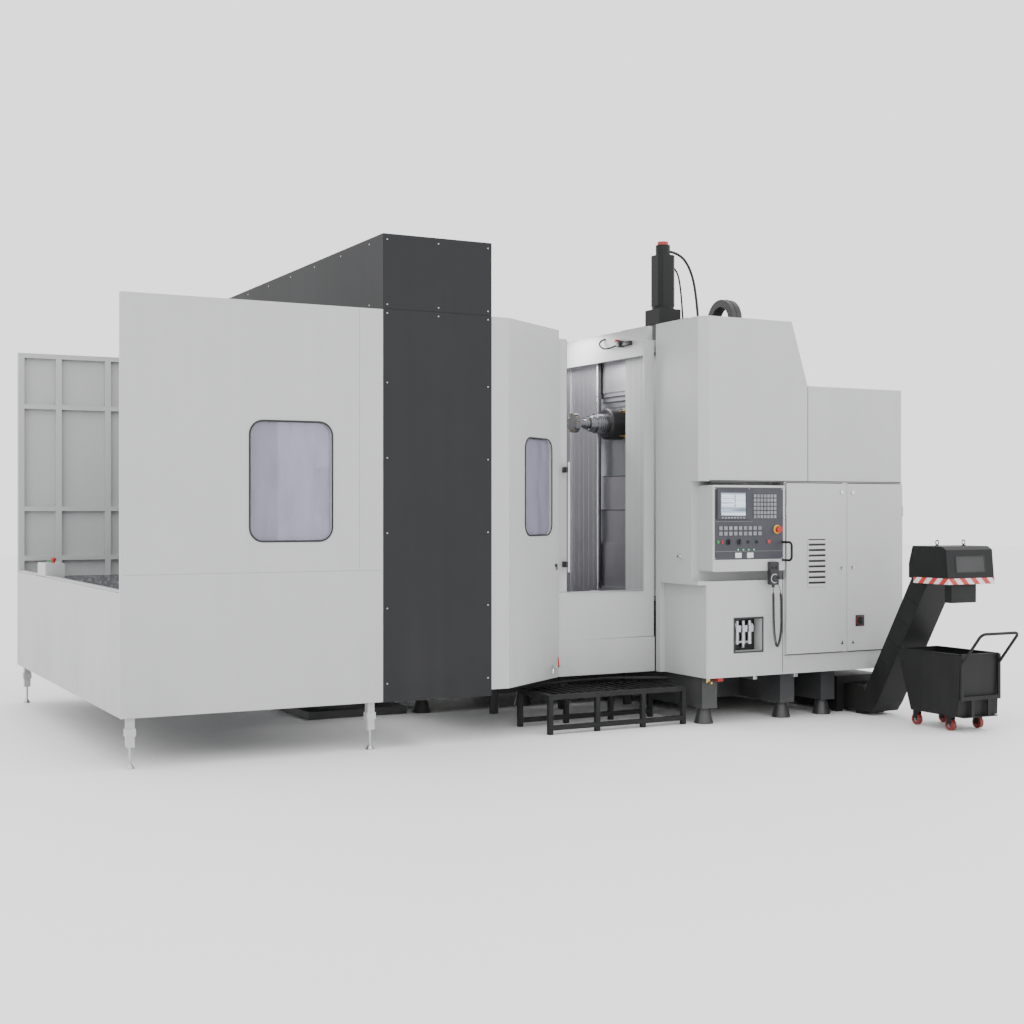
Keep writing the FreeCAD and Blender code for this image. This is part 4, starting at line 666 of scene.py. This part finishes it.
def drawn_mesh(curve):
    """Mesh of a curve as it shows."""
    holder = bpy.data.objects.new(curve.name + "_line", curve)
    show(holder)
    mesh = bpy.data.meshes.new_from_object(holder.evaluated_get(bpy.context.evaluated_depsgraph_get()))
    bpy.data.objects.remove(holder)
    return mesh


def hose(name, points, radius, material, body="machine"):
    """Bent conduit through given points."""
    curve = hand_line(name, points, 8)
    curve.bevel_depth = radius
    curve.bevel_resolution = 3
    curve.use_fill_caps = True
    mesh = drawn_mesh(curve)
    smooth(mesh)
    mesh.materials.clear()
    mesh.materials.append(material)
    made = bpy.data.objects.new(name, mesh)
    show(made)
    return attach(made, body)


HEADER_X = 4.340                 # outer face of the header over the covers
blocks("work_lamp", BLACK_PLASTIC, ((at(HEADER_X - 0.035, 0.80, 3.000), at(HEADER_X, 0.93, 3.035)),
    (at(HEADER_X - 0.050, 0.93, 2.995), at(HEADER_X, 0.98, 3.045))), 0.004)
blocks("work_lamp_clip", RED_PLASTIC, [(at(HEADER_X - 0.042, 0.985, 3.040),
    at(HEADER_X - 0.004, 1.02, 3.062))], 0.004)
hose("lamp_conduit", [at(HEADER_X - 0.02, 0.98, 3.02), at(HEADER_X - 0.04, 1.08, 2.995),
    at(HEADER_X - 0.05, 1.19, 3.0), at(HEADER_X - 0.04, 1.27, 3.05), at(HEADER_X - 0.01, 1.25, 3.09),
    at(HEADER_X, 1.22, 3.085)], 0.007, RUBBER)
screw_rows("header_screws", ([at(HEADER_X, 0.62 + i * 0.33, z) for i in range(9) for z in (2.94, 3.10)], LEFT,
    0.005, 0.002))

# ---- sliding sheet covers ----
# The upright leaves end in black wipers; the column's frame has a polished guide bar down either side
# and rows of screws.
LEAF_H = 0.365                   # height of an upright leaf
for body, leaf in (("upright_third", "upright_leaf_third"), ("upright_two_thirds",
        "upright_leaf_two_thirds")):
    leaf_low, leaf_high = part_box(leaf)
    bm = bmesh.new()
    for z in (leaf_high.z - LEAF_H, leaf_low.z + LEAF_H - 0.008):
        block(bm, (leaf_low.x - 0.0002, leaf_low.y + 0.01, z), (leaf_low.x + 0.003, leaf_high.y - 0.01,
            z + 0.008))
    piece(bm, leaf + "_wiper", RUBBER, body)
GUIDE_X = 4.456                  # front of the column's cover frame
bm = bmesh.new()
for y in (1.033, 1.537):
    bar(bm, at(GUIDE_X - 0.002, y, 0.96), at(GUIDE_X - 0.002, y, 3.02), 0.010, sides=20)
piece(bm, "cover_guide_bars", CHROME, "column_body")
blocks("cover_guide_pads", BLACK_PLASTIC, [(at(GUIDE_X + 0.003, y - 0.014, 0.97),
    at(GUIDE_X + 0.0085, y + 0.014, 3.03)) for y in (1.060, 1.510)], 0.001, "column_body")
screw_rows("cover_guide_screws", ([at(GUIDE_X + 0.006, y, 1.00 + i * 0.25) for i in range(9)
    for y in (1.020, 1.550)], LEFT, 0.005, 0.002), material=CHROME, body="column_body", slot="chrome")

# ---- spindle ----
# Black housing with a bolted front ring and coolant nozzles; the turning nose has labyrinth grooves and
# socket screws; the face mill carries eight coated carbide inserts.
SPINDLE = at(0, 1.285, 2.380)
NOSE_X, RING_X = at(4.205, 0, 0).x, at(4.372, 0, 0).x


def round_spindle(count, radius, x, offset=0.0):
    """Evenly spaced points on a circle round the spindle's axis."""
    turns = [2 * math.pi * i / count + offset for i in range(count)]
    return [Vector((x, SPINDLE.y + radius * math.cos(t), SPINDLE.z + radius * math.sin(t))) for t in turns]


screw_rows("housing_ring_screws", (round_spindle(8, 0.106, RING_X), LEFT, 0.009, 0.007), material=BLACK_OXIDE,
    body="head", slot="black_steel")
bm = bmesh.new()
for spot in round_spindle(4, 0.150, at(4.528, 0, 0).x, math.pi / 4):
    bar(bm, spot, spot - Vector((0.030, 0, 0)), 0.013, 0.013, 6)
    inward = (Vector((spot.x, SPINDLE.y, SPINDLE.z)) - spot) * 0.10
    bar(bm, spot - Vector((0.028, 0, 0)), spot - Vector((0.075, 0, 0)) + inward * 0.2, 0.008, 0.004, 14,
        0.001)
piece(bm, "coolant_nozzles", BRASS, "head")
bm = bmesh.new()
for x in (0.085, 0.105, 0.125, 0.145):
    bar(bm, (NOSE_X + x, SPINDLE.y, SPINDLE.z), (NOSE_X + x + 0.005, SPINDLE.y, SPINDLE.z), 0.0843, sides=48)
piece(bm, "nose_grooves", BLACK_OXIDE, "spindle")
screw_rows("nose_screws", (round_spindle(12, 0.0780, NOSE_X + 0.060), LEFT, 0.0050, 0.0050),
    (round_spindle(4, 0.054, NOSE_X, math.pi / 4), LEFT, 0.006, 0.004), material=BLACK_OXIDE, body="spindle",
    slot="black_steel")
GOLD = ground_metal("coated_carbide", colour(0.70, 0.48, 0.16), colour(0.50, 0.33, 0.10), 0.30, 200.0,
    (1, 1, 1))
mill_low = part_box("face_mill")[0]
bm = bmesh.new()
for tooth in range(8):
    insert = bmesh.ops.create_cube(bm, size=1)["verts"]
    bmesh.ops.scale(bm, vec=(0.014, 0.004, 0.014), verts=insert)
    bmesh.ops.translate(bm, vec=(mill_low.x + 0.0065, -0.0085, 0.0745), verts=insert)
    bmesh.ops.rotate(bm, cent=(0, 0, 0), matrix=Matrix.Rotation(math.radians(45) * tooth, 3, "X"),
        verts=insert)
    bmesh.ops.translate(bm, vec=(0, SPINDLE.y, SPINDLE.z), verts=insert)
piece(bm, "mill_inserts", GOLD, "spindle")

# ---- tool magazine ----
# Turning disc behind the covers that stores the tools. Every second pocket holds a ground steel taper
# holder with its collar and nut.
magazine_low, magazine_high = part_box("tool_magazine")
disc_middle = Vector(((magazine_low.x + magazine_high.x) / 2, 0, (magazine_low.z + magazine_high.z) / 2))
bm = bmesh.new()
for slot_number in range(0, 20, 2):
    turn = 2 * math.pi * slot_number / 20
    spot = Vector((disc_middle.x + 0.45 * math.cos(turn), magazine_low.y,
        disc_middle.z + 0.45 * math.sin(turn)))
    bar(bm, spot + Vector((0, 0.045, 0)), spot + Vector((0, -0.012, 0)), 0.020, 0.036, 24)
    bar(bm, spot + Vector((0, -0.012, 0)), spot + Vector((0, -0.030, 0)), 0.040, 0.040, 28, 0.003)
    bar(bm, spot + Vector((0, -0.030, 0)), spot + Vector((0, -0.048, 0)), 0.026, 0.024, 24, 0.002)
piece(bm, "stored_tools", STEEL, "magazine")

# ---- console block ----
# Tall folded steel box in front of the column. A pressed seam runs round at the cabinet's height, the recess
# holds the console, and a small window low down shows a black gauge board.
SEAM_LEVEL = 1.875               # seam round the block
blocks("block_seams", BLACK_PAINT, ((at(4.402, -0.1862, SEAM_LEVEL - 0.003),
    at(6.318, -0.1848, SEAM_LEVEL + 0.003)), (at(5.098, -0.1862, 0.375), at(5.102, -0.1848, SEAM_LEVEL)),
    (at(5.348, -0.1862, SEAM_LEVEL), at(5.352, -0.1848, 2.625))))
screw_rows("block_screws", ([at(x, -0.185, z) for x in (4.50, 4.79, 5.06) for z in (0.42, 0.90, 1.05)], FRONT,
    0.005, 0.002), ([at(x, -0.185, z) for x in (4.44, 4.80, 5.16, 5.30) for z in (1.92, 2.56)], FRONT, 0.005,
    0.002), ([at(4.340, y, z) for y in (-0.08, 0.20, 0.44) for z in (1.95, 2.50, 3.08)], LEFT, 0.005, 0.002))
bm = bmesh.new()
latch = at(4.340, 0.104, 1.290)
bar(bm, latch, latch - Vector((0.012, 0, 0)), 0.016, sides=24, edge=0.002)
bar(bm, latch - Vector((0.010, 0, 0)), latch - Vector((0.030, 0, 0)), 0.009, 0.011, 18, 0.001)
piece(bm, "side_latch", CHROME)
blocks("recess_shade", BLACK_PLASTIC, [(at(4.420, -0.180, 1.850), at(4.720, -0.120, 1.868))], 0.003)
blocks("gauge_board", BLACK_PLASTIC, [(at(4.642, -0.090, 0.562), at(4.898, -0.075, 0.808))], 0.002)
bm = bmesh.new()
for x in (4.700, 4.840):
    bar(bm, at(x, -0.088, 0.745), at(x, -0.118, 0.745), 0.030, 0.030, 32, 0.003)
bar(bm, at(4.770, -0.112, 0.580), at(4.770, -0.112, 0.690), 0.014, sides=20, edge=0.002)
bar(bm, at(4.690, -0.112, 0.625), at(4.850, -0.112, 0.625), 0.010, sides=18, edge=0.002)
piece(bm, "air_gauges", STEEL)
bm = bmesh.new()
for x in (4.700, 4.840):
    bar(bm, at(x, -0.117, 0.745), at(x, -0.1195, 0.745), 0.025, sides=32)
piece(bm, "gauge_faces", WHITE_PLASTIC)
blocks("gauge_window_trim", BLACK_PLASTIC, [(at(left, -0.190, low), at(right, -0.184, high)) for left, low,
    right, high in ((4.628, 0.548, 4.912, 0.560), (4.628, 0.810, 4.912, 0.822), (4.628, 0.560, 4.640, 0.810),
    (4.900, 0.560, 4.912, 0.810))], 0.001)
blocks("block_feet_brackets", STEEL, [(at(x - 0.02, -0.10, 0.325), at(x + 0.02, 0.06, 0.366))
    for x in (4.90, 5.30)], 0.003)
bars("air_inlet", BRASS, [(at(4.45, -0.10, 0.366), at(4.45, -0.10, 0.325), 0.016, 0.016, 6),
    (at(4.45, -0.10, 0.326), at(4.45, -0.15, 0.326), 0.011, 0.009, 16, 0.001)])
blocks("air_valve", RED_PLASTIC, [(at(4.520, -0.13, 0.330), at(4.575, -0.07, 0.366))], 0.004)

# ---- control console ----
# Black panel in the recess. The screen is lit, colour push buttons and small rotary switches sit below
# it, and a strip along the bottom holds two covered connectors and indicator lamps.


def glowing(name, low, high, strength):
    """Lens or display that gives off a little light of its own."""
    f = Finish(name)
    bands = f.ramp(f.noise(9.0, 2.0, (0.4, 1, 6)), 0.35, 0.62)
    tone = f.blend(bands, low, high)
    return f.set(Base_Color=tone, Emission_Color=tone, Emission_Strength=strength, Roughness=0.25)


blocks("display", glowing("lit_display", colour(0.10, 0.13, 0.18), colour(0.30, 0.36, 0.44), 0.6),
    [(at(4.474, -0.2362, 1.604), at(4.706, -0.2342, 1.781))])
blocks("display_fields", glowing("display_field_glow", colour(0.45, 0.52, 0.60), colour(0.55, 0.62, 0.70),
    0.5), [(at(4.480, -0.2366, 1.742 - row * 0.034), at(4.600, -0.2361, 1.768 - row * 0.034))
    for row in range(3)] + [(at(4.612, -0.2366, 1.672), at(4.700, -0.2361, 1.768)),
    (at(4.480, -0.2366, 1.612), at(4.700, -0.2361, 1.628))])
blocks("soft_keys", KEY_GREY, [(at(4.478 + key * 0.0285, -0.2400, 1.584), at(4.498 + key * 0.0285, -0.2378,
    1.596)) for key in range(8)], 0.001)
for tint, name, x in ((GREEN_PLASTIC, "start_button", 4.450), (RED_PLASTIC, "hold_button", 4.490)):
    bm = bmesh.new()
    bar(bm, at(x, -0.2275, 1.405), at(x, -0.2315, 1.405), 0.013, sides=28)
    bar(bm, at(x, -0.2310, 1.405), at(x, -0.2390, 1.405), 0.0100, 0.0095, 28, 0.0015)
    piece(bm, name, tint)
bm = bmesh.new()
for x in (4.735, 4.815):
    bar(bm, at(x, -0.2275, 1.405), at(x, -0.2330, 1.405), 0.014, sides=28, edge=0.001)
    bar(bm, at(x, -0.2330, 1.405), at(x, -0.2430, 1.405), 0.008, 0.007, 20, 0.001)
    block(bm, at(x - 0.0018, -0.2445, 1.396), at(x + 0.0018, -0.2420, 1.416), 0.0006)
piece(bm, "mode_switches", BLACK_PLASTIC)
blocks("memory_lock", RED_PLASTIC, [(at(4.915, -0.2370, 1.392), at(4.945, -0.2275, 1.418))], 0.002)
bm = bmesh.new()
estop_centre = at(5.013, -0.2285, 1.500)
bar(bm, estop_centre + Vector((0, 0.0008, 0)), estop_centre + Vector((0, -0.0015, 0)), 0.034, sides=48)
piece(bm, "stop_collar", YELLOW_PLASTIC)
bm = bmesh.new()
for x in (4.640, 4.690, 4.740, 4.790):
    bar(bm, at(x, -0.2275, 1.345), at(x, -0.2305, 1.345), 0.0055, 0.0050, 16, 0.0008)
piece(bm, "ready_lamps", glowing("green_lens_glow", colour(0.08, 0.45, 0.16), colour(0.10, 0.55, 0.20), 1.6))
blocks("panel_lines", KEY_GREY, ((at(4.425, -0.2292, 1.332), at(5.063, -0.2278, 1.334)),
    (at(4.425, -0.2292, 1.560), at(4.775, -0.2278, 1.562))))
blocks("port_covers", WHITE_PLASTIC, [(at(x - 0.030, -0.2340, 1.282), at(x + 0.030, -0.2275, 1.322))
    for x in (4.640, 4.752)], 0.003)
screw_rows("console_screws", ([at(x, -0.228, z) for x in (4.428, 4.744, 5.060) for z in (1.280, 1.813)],
    FRONT, 0.0035, 0.0015), ([at(x, -0.230, z) for x in (4.408, 5.079) for z in (1.190, 1.830)], FRONT,
    0.0035, 0.0015), material=CHROME, slot="chrome")
bars("cover_lock", WHITE_PLASTIC, [(at(5.078, -0.2295, 1.590), at(5.078, -0.2400, 1.590), 0.006, None, 20,
    0.001)])

# ---- hand pulse pendant ----
# Small black hand unit hung under the console: a finger crank on the dial, two rotary selectors and a
# thin pale scale ring.
dial = at(4.958, -0.270, 1.120)
bars("pendant_scale", WHITE_PLASTIC, [(dial + Vector((0, 0.0005, 0)), dial + Vector((0, -0.0008, 0)), 0.036,
    None, 48)])
bm = bmesh.new()
bar(bm, dial + Vector((0.018, -0.0138, 0.008)), dial + Vector((0.018, -0.0300, 0.008)), 0.0055, 0.0065, 20,
    0.001)
for x in (4.940, 4.977):
    bar(bm, at(x, -0.2698, 1.205), at(x, -0.2800, 1.205), 0.0100, 0.0090, 24, 0.001)
    block(bm, at(x - 0.0014, -0.2818, 1.198), at(x + 0.0014, -0.2795, 1.213), 0.0005)
piece(bm, "pendant_controls", BLACK_PLASTIC)

# ---- pendant cord ----
# Coiled rubber lead. It leaves the pendant's boss straight, hangs as a close helix in a loop and goes
# straight up again into the console's underside.
HANG = [(4.958, -0.250, 1.0498), (4.960, -0.250, 0.870), (4.964, -0.250, 0.690), (4.998, -0.250, 0.560),
    (5.037, -0.250, 0.690), (5.035, -0.250, 0.870), (5.033, -0.250, 1.020), (5.033, -0.205, 1.090),
    (5.033, -0.205, 1.180)]
WIRE = 0.0025                    # radius of the lead
COIL = 0.0090                    # mean radius of its coil
TURN_LENGTH = 0.0075             # from one turn to the next
STRAIGHT_IN, STRAIGHT_OUT, BLEND = 0.030, 0.170, 0.030   # plain ends, and how far the coil takes to open
STEPS = 2400                     # points along the whole hang


def drawn_line(points, steps):
    """Evenly spaced points along the smooth line a cord hangs in, and its length."""
    mesh = drawn_mesh(hand_line("hanging_line", points, 64))
    places = [v.co.copy() for v in mesh.vertices]
    bpy.data.meshes.remove(mesh)
    reach = [0.0]
    for a, b in zip(places, places[1:]):
        reach.append(reach[-1] + (b - a).length)
    even = []
    here = 0
    for step in range(steps + 1):
        goal = reach[-1] * step / steps
        while here < len(reach) - 2 and reach[here + 1] < goal:
            here += 1
        share = (goal - reach[here]) / max(1e-9, reach[here + 1] - reach[here])
        even.append(places[here].lerp(places[here + 1], min(1.0, max(0.0, share))))
    return even, reach[-1]


middle, hang_length = drawn_line([at(*p) for p in HANG], STEPS)
side = Vector((0, -1, 0))
helix = []
turned = 0.0
for i, spot in enumerate(middle):
    run = hang_length * i / STEPS
    along = (middle[min(i + 1, STEPS)] - middle[max(i - 1, 0)]).normalized()
    side = (side - along * side.dot(along)).normalized()
    other = along.cross(side)
    rise = min(1.0, max(0.0, (run - STRAIGHT_IN) / BLEND))
    fall = min(1.0, max(0.0, (hang_length - STRAIGHT_OUT - run) / BLEND))
    spread = COIL * min(rise, fall) ** 2 * (3 - 2 * min(rise, fall))
    turned += 2 * math.pi * (hang_length / STEPS) / TURN_LENGTH
    helix.append(spot + side * spread * math.cos(turned) + other * spread * math.sin(turned))
lead = hand_line("pendant_lead", helix, 2)
lead.bevel_depth = WIRE
lead.bevel_resolution = 2
lead.use_fill_caps = True
lead.materials.append(RUBBER)
pendant_lead = bpy.data.objects.new("pendant_lead", lead)
show(pendant_lead)
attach(pendant_lead, "machine")
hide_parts("handwheel_cord")
lead_length = sum((b - a).length for a, b in zip(helix, helix[1:]))

# ---- electrical cabinet ----
# Two sheet doors with flush locks by the middle seam, a small louvre, a black plate with a red ring round the
# main switch, and a screwed strip underneath.
left_low, left_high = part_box("left_cabinet_door")
right_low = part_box("right_cabinet_door")[0]
for body, name, x in (("left_door", "left_door_locks", left_high.x - 0.055),
        ("right_door", "right_door_locks", right_low.x + 0.055)):
    bm = bmesh.new()
    for z in (1.790, 1.190, 0.590):
        spot = Vector((x, left_low.y, at(0, 0, z).z))
        bar(bm, spot, spot + Vector((0, -0.004, 0)), 0.014, 0.014, 28, 0.001)
        bar(bm, spot + Vector((0, -0.004, 0)), spot + Vector((0, -0.006, 0)), 0.006, 0.005, 3)
    piece(bm, name, CHROME, body)
blocks("louvre_shadow", BLACK_PLASTIC, [(at(5.335, -0.2102, 1.045), at(5.505, -0.2094, 1.420))],
    body="left_door")
blocks("door_louvre", WHITE, [(at(5.330, -0.2150, 1.040 + i * 0.043), at(5.510, -0.2098, 1.066 + i * 0.043))
    for i in range(9)] + [(at(x, -0.2150, 1.040), at(x + 0.010, -0.2098, 1.412)) for x in (5.325, 5.505)],
    0.002, "left_door")
switch = at(5.860, -0.2095, 0.760)
blocks("switch_plate", BLACK_PLASTIC, [(switch + Vector((-0.045, -0.003, -0.045)),
    switch + Vector((0.045, 0, 0.045)))], 0.001, "right_door")
bars("switch_ring", RED_PLASTIC, [(switch + Vector((0, -0.0025, 0)), switch + Vector((0, -0.0050, 0)), 0.037,
    None, 44)], "right_door")
blocks("cabinet_strip_seam", BLACK_PAINT, [(at(5.110, -0.1865, 0.5085), at(6.316, -0.1848, 0.5110))])
screw_rows("cabinet_strip_screws", ([at(5.16 + i * 0.27, -0.185, z) for z in (0.400, 0.480)
    for i in range(5)], FRONT, 0.005, 0.002))

# ---- feed motor ----
# Servo motor standing on top of the column: socket screws in its flange, a red cap on its end and two black
# leads that hang down to the column.
MOTOR = at(4.960, 1.285, 0)
screw_rows("motor_screws", ([MOTOR + Vector((dx, dy, 3.380)) for dy in (-0.068, 0.068)
    for dx in (-0.068, 0.068)], (0, 0, 1), 0.009, 0.008), material=BLACK_OXIDE, body="column_body",
    slot="black_steel")
bm = bmesh.new()
motor_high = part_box("axis_motor")[1]
bar(bm, MOTOR + Vector((0, 0, motor_high.z - 0.029)), MOTOR + Vector((0, 0, motor_high.z)), 0.0465, 0.0465,
    40)
piece(bm, "motor_cap", RED_PLASTIC, "column_body")
hose("motor_leads", [MOTOR + Vector((0.045, -0.02, 3.89)), MOTOR + Vector((0.16, -0.03, 3.88)),
    MOTOR + Vector((0.27, -0.04, 3.74)), MOTOR + Vector((0.32, -0.05, 3.50)),
    MOTOR + Vector((0.34, -0.05, 3.245))], 0.011, RUBBER, "column_body")
hose("brake_lead", [MOTOR + Vector((0.045, 0.03, 3.80)), MOTOR + Vector((0.15, 0.03, 3.78)),
    MOTOR + Vector((0.22, 0.04, 3.60)), MOTOR + Vector((0.24, 0.04, 3.245))], 0.008, RUBBER, "column_body")

# ---- cable chain ----
# Plastic drag chain that loops over the column. Round pins join its links on both sides, and a thin bar runs
# along the back of each link.
CHAIN = at(5.568, 1.225, 3.310)
bm = bmesh.new()
for link in range(13):
    turn = math.radians(180 / 13 * (link + 0.5))
    out = Vector((0, math.cos(turn), math.sin(turn)))
    along = Vector((0, -math.sin(turn), math.cos(turn)))
    for x in (-0.0508, 0.0468):
        for reach in (0.134, 0.181):
            pin = CHAIN + Vector((x, 0, 0)) + out * reach
            bar(bm, pin, pin + Vector((0.004, 0, 0)), 0.006, sides=12)
    bar(bm, CHAIN + out * 0.1905 - along * 0.016, CHAIN + out * 0.1905 + along * 0.016, 0.004, sides=8)
piece(bm, "chain_links", BLACK_OXIDE, "column_body")

# ---- chip conveyor ----
# Black sheet conveyor. Red and white hazard tape wraps the hood's lower edge, an inspection pane sits in its
# front, two lifting eyes stand on top, and folded ribs stiffen the rising trough.
hood_low, hood_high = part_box("conveyor_hood")


def hazard_tape():
    """Slanting red and white stripes, scuffed in scattered patches."""
    f = Finish("hazard_tape")
    stripes = ((f.axis("X") + f.axis("Y") + f.axis("Z")) * 9.0) % 1.0 > 0.5
    worn = f.ramp(f.noise(30.0, 4.0), 0.55, 0.75)
    tint = f.blend(stripes, colour(0.62, 0.62, 0.62), colour(0.45, 0.02, 0.018))
    return f.set(Base_Color=f.blend(worn * 0.4, tint, colour(0.25, 0.22, 0.21)), Roughness=0.42 + worn * 0.2)


TAPE = hazard_tape()
tape_z = at(0, 0, 1.091).z
blocks("hood_tape", TAPE, [((left, hood_low.y + reach, tape_z), (right, hood_low.y + far, tape_z + 0.045))
    for left, right, reach, far in ((hood_low.x - 0.0005, hood_low.x + 0.0005, 0.002, 0.37),
    (hood_high.x - 0.0008, hood_high.x, 0.002, 0.37), (hood_low.x, hood_high.x, -0.0006, 0.0050))])
bm = bmesh.new()
slope = Vector((0, 0.025, 0.26)).normalized()
hood_front = Vector(((hood_low.x + hood_high.x) / 2, hood_low.y + 0.0144, at(0, 0, 1.240).z))
gasket(bm, hood_front - Vector((0, 0.001, 0)), Vector((1, 0, 0)), slope, 0.30, 0.13, 0.012, 0.010, 0.004)
piece(bm, "hood_pane_frame", RUBBER)
bm = bmesh.new()
pane_turn = Matrix.Rotation(math.atan2(slope.y, slope.z), 4, "X").inverted()
glazing = bmesh.ops.create_cube(bm, size=1)["verts"]
bmesh.ops.scale(bm, vec=(0.282, 0.003, 0.112), verts=glazing)
bmesh.ops.transform(bm, matrix=pane_turn, verts=glazing)
bmesh.ops.translate(bm, vec=hood_front - Vector((0, 0.0008, 0)), verts=glazing)
piece(bm, "hood_pane", BLACK_PLASTIC)
bm = bmesh.new()
for x in (hood_low.x + 0.10, hood_high.x - 0.10):
    foot = Vector((x, hood_low.y + 0.22, hood_high.z))
    bar(bm, foot, foot + Vector((0, 0, 0.008)), 0.016, sides=20, edge=0.001)
    ring = bmesh.ops.create_circle(bm, segments=10, radius=0.0045)["verts"]
    bmesh.ops.rotate(bm, verts=ring, cent=(0, 0, 0), matrix=Matrix.Rotation(math.radians(90), 3, "X"))
    bmesh.ops.translate(bm, verts=ring, vec=(0.016, 0, 0))
    loop_edges = list(dict.fromkeys(e for v in ring for e in v.link_edges))
    bmesh.ops.spin(bm, geom=ring + loop_edges, cent=(0, 0, 0), axis=(0, 1, 0), angle=math.tau, steps=28,
        use_merge=True, use_duplicate=False)
    eye = [v for v in bm.verts if v.co.length < 0.05]
    bmesh.ops.translate(bm, verts=eye, vec=foot + Vector((0, 0, 0.027)))
piece(bm, "hood_eye_bolts", BLACK_OXIDE)
TROUGH_HEAD = at(0, -0.830, 1.080)
uphill = Vector((0, -math.cos(math.radians(60)), math.sin(math.radians(60))))
square = Vector((0, uphill.z, -uphill.y))
bm = bmesh.new()
for reach in (0.16, 0.36, 0.56, 0.76):
    spot = TROUGH_HEAD - uphill * reach
    for x in (5.8975, 6.1680):
        rib_middle = Vector((at(x, 0, 0).x, spot.y, spot.z))
        corners = [bm.verts.new(rib_middle + square * across + uphill * up) for across,
            up in ((-0.082, -0.010), (0.082, -0.010), (0.082, 0.010), (-0.082, 0.010))]
        thicken(bm, [bm.faces.new(corners)], (0.0045, 0, 0))
piece(bm, "trough_ribs", BLACK_PAINT)

# ---- chip cart ----
# Black welded sheet cart on four casters. A folded rim runs round the top of its hopper, and turned hubs
# are bolted on its wheels.
hopper_low, hopper_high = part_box("cart_hopper")
rim = 0.014
blocks("cart_rim", BLACK_PAINT, [((left, low, hopper_high.z - 0.002), (right, high, hopper_high.z + 0.006))
    for left, low, right, high in ((hopper_low.x, hopper_low.y, hopper_high.x, hopper_low.y + rim),
    (hopper_low.x, hopper_high.y - rim, hopper_high.x, hopper_high.y),
    (hopper_low.x, hopper_low.y, hopper_low.x + rim, hopper_high.y), (hopper_high.x - rim, hopper_low.y,
    hopper_high.x, hopper_high.y))], 0.001, "cart")
for body, name, y in (("front_wheels", "front_hubs", -1.176), ("rear_wheels", "rear_hubs", -0.821)):
    bm = bmesh.new()
    wheel_low, wheel_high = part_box("cart_wheels_front" if y < -1 else "cart_wheels_rear")
    z = (wheel_low.z + wheel_high.z) / 2
    for x, out in ((wheel_low.x, -1), (wheel_high.x, 1)):
        hub = Vector((x, at(0, y, 0).y, z))
        bar(bm, hub - Vector((out * 0.002, 0, 0)), hub + Vector((out * 0.003, 0, 0)), 0.020, 0.018, 24)
        bar(bm, hub + Vector((out * 0.003, 0, 0)), hub + Vector((out * 0.008, 0, 0)), 0.009, 0.009, 6)
    piece(bm, name, STEEL, body)

# ---- operator step ----
# Low black welded platform that stands in front of the door. Raised anti-slip strips are welded across
# its grating top.
step_low, step_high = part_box("step_platform")
tread_x = [step_low.x + 0.05 + i * (step_high.x - step_low.x - 0.10) / 15 for i in range(16)]
blocks("step_treads", BLACK_PAINT, [((x - 0.008, step_low.y + 0.02, step_high.z - 0.001),
    (x + 0.008, step_high.y - 0.02, step_high.z + 0.003)) for x in tread_x], 0.001)

# ---- base skirt ----
# One dark rubber conduit runs along the bed casting under the covers, past three enamelled brackets
# that are fixed to the casting.
hose("bed_conduit", [at(2.72, 0.30, 0.34), at(3.2, 0.55, 0.30), at(3.9, 0.56, 0.33), at(4.42, 0.40, 0.31),
    at(5.2, 0.10, 0.33)], 0.012, RUBBER)
blocks("bed_brackets", BLACK_PAINT, [(at(x - 0.03, 0.56, 0.10), at(x + 0.03, 0.60, 0.36))
    for x in (2.95, 3.55, 4.15)], 0.004)
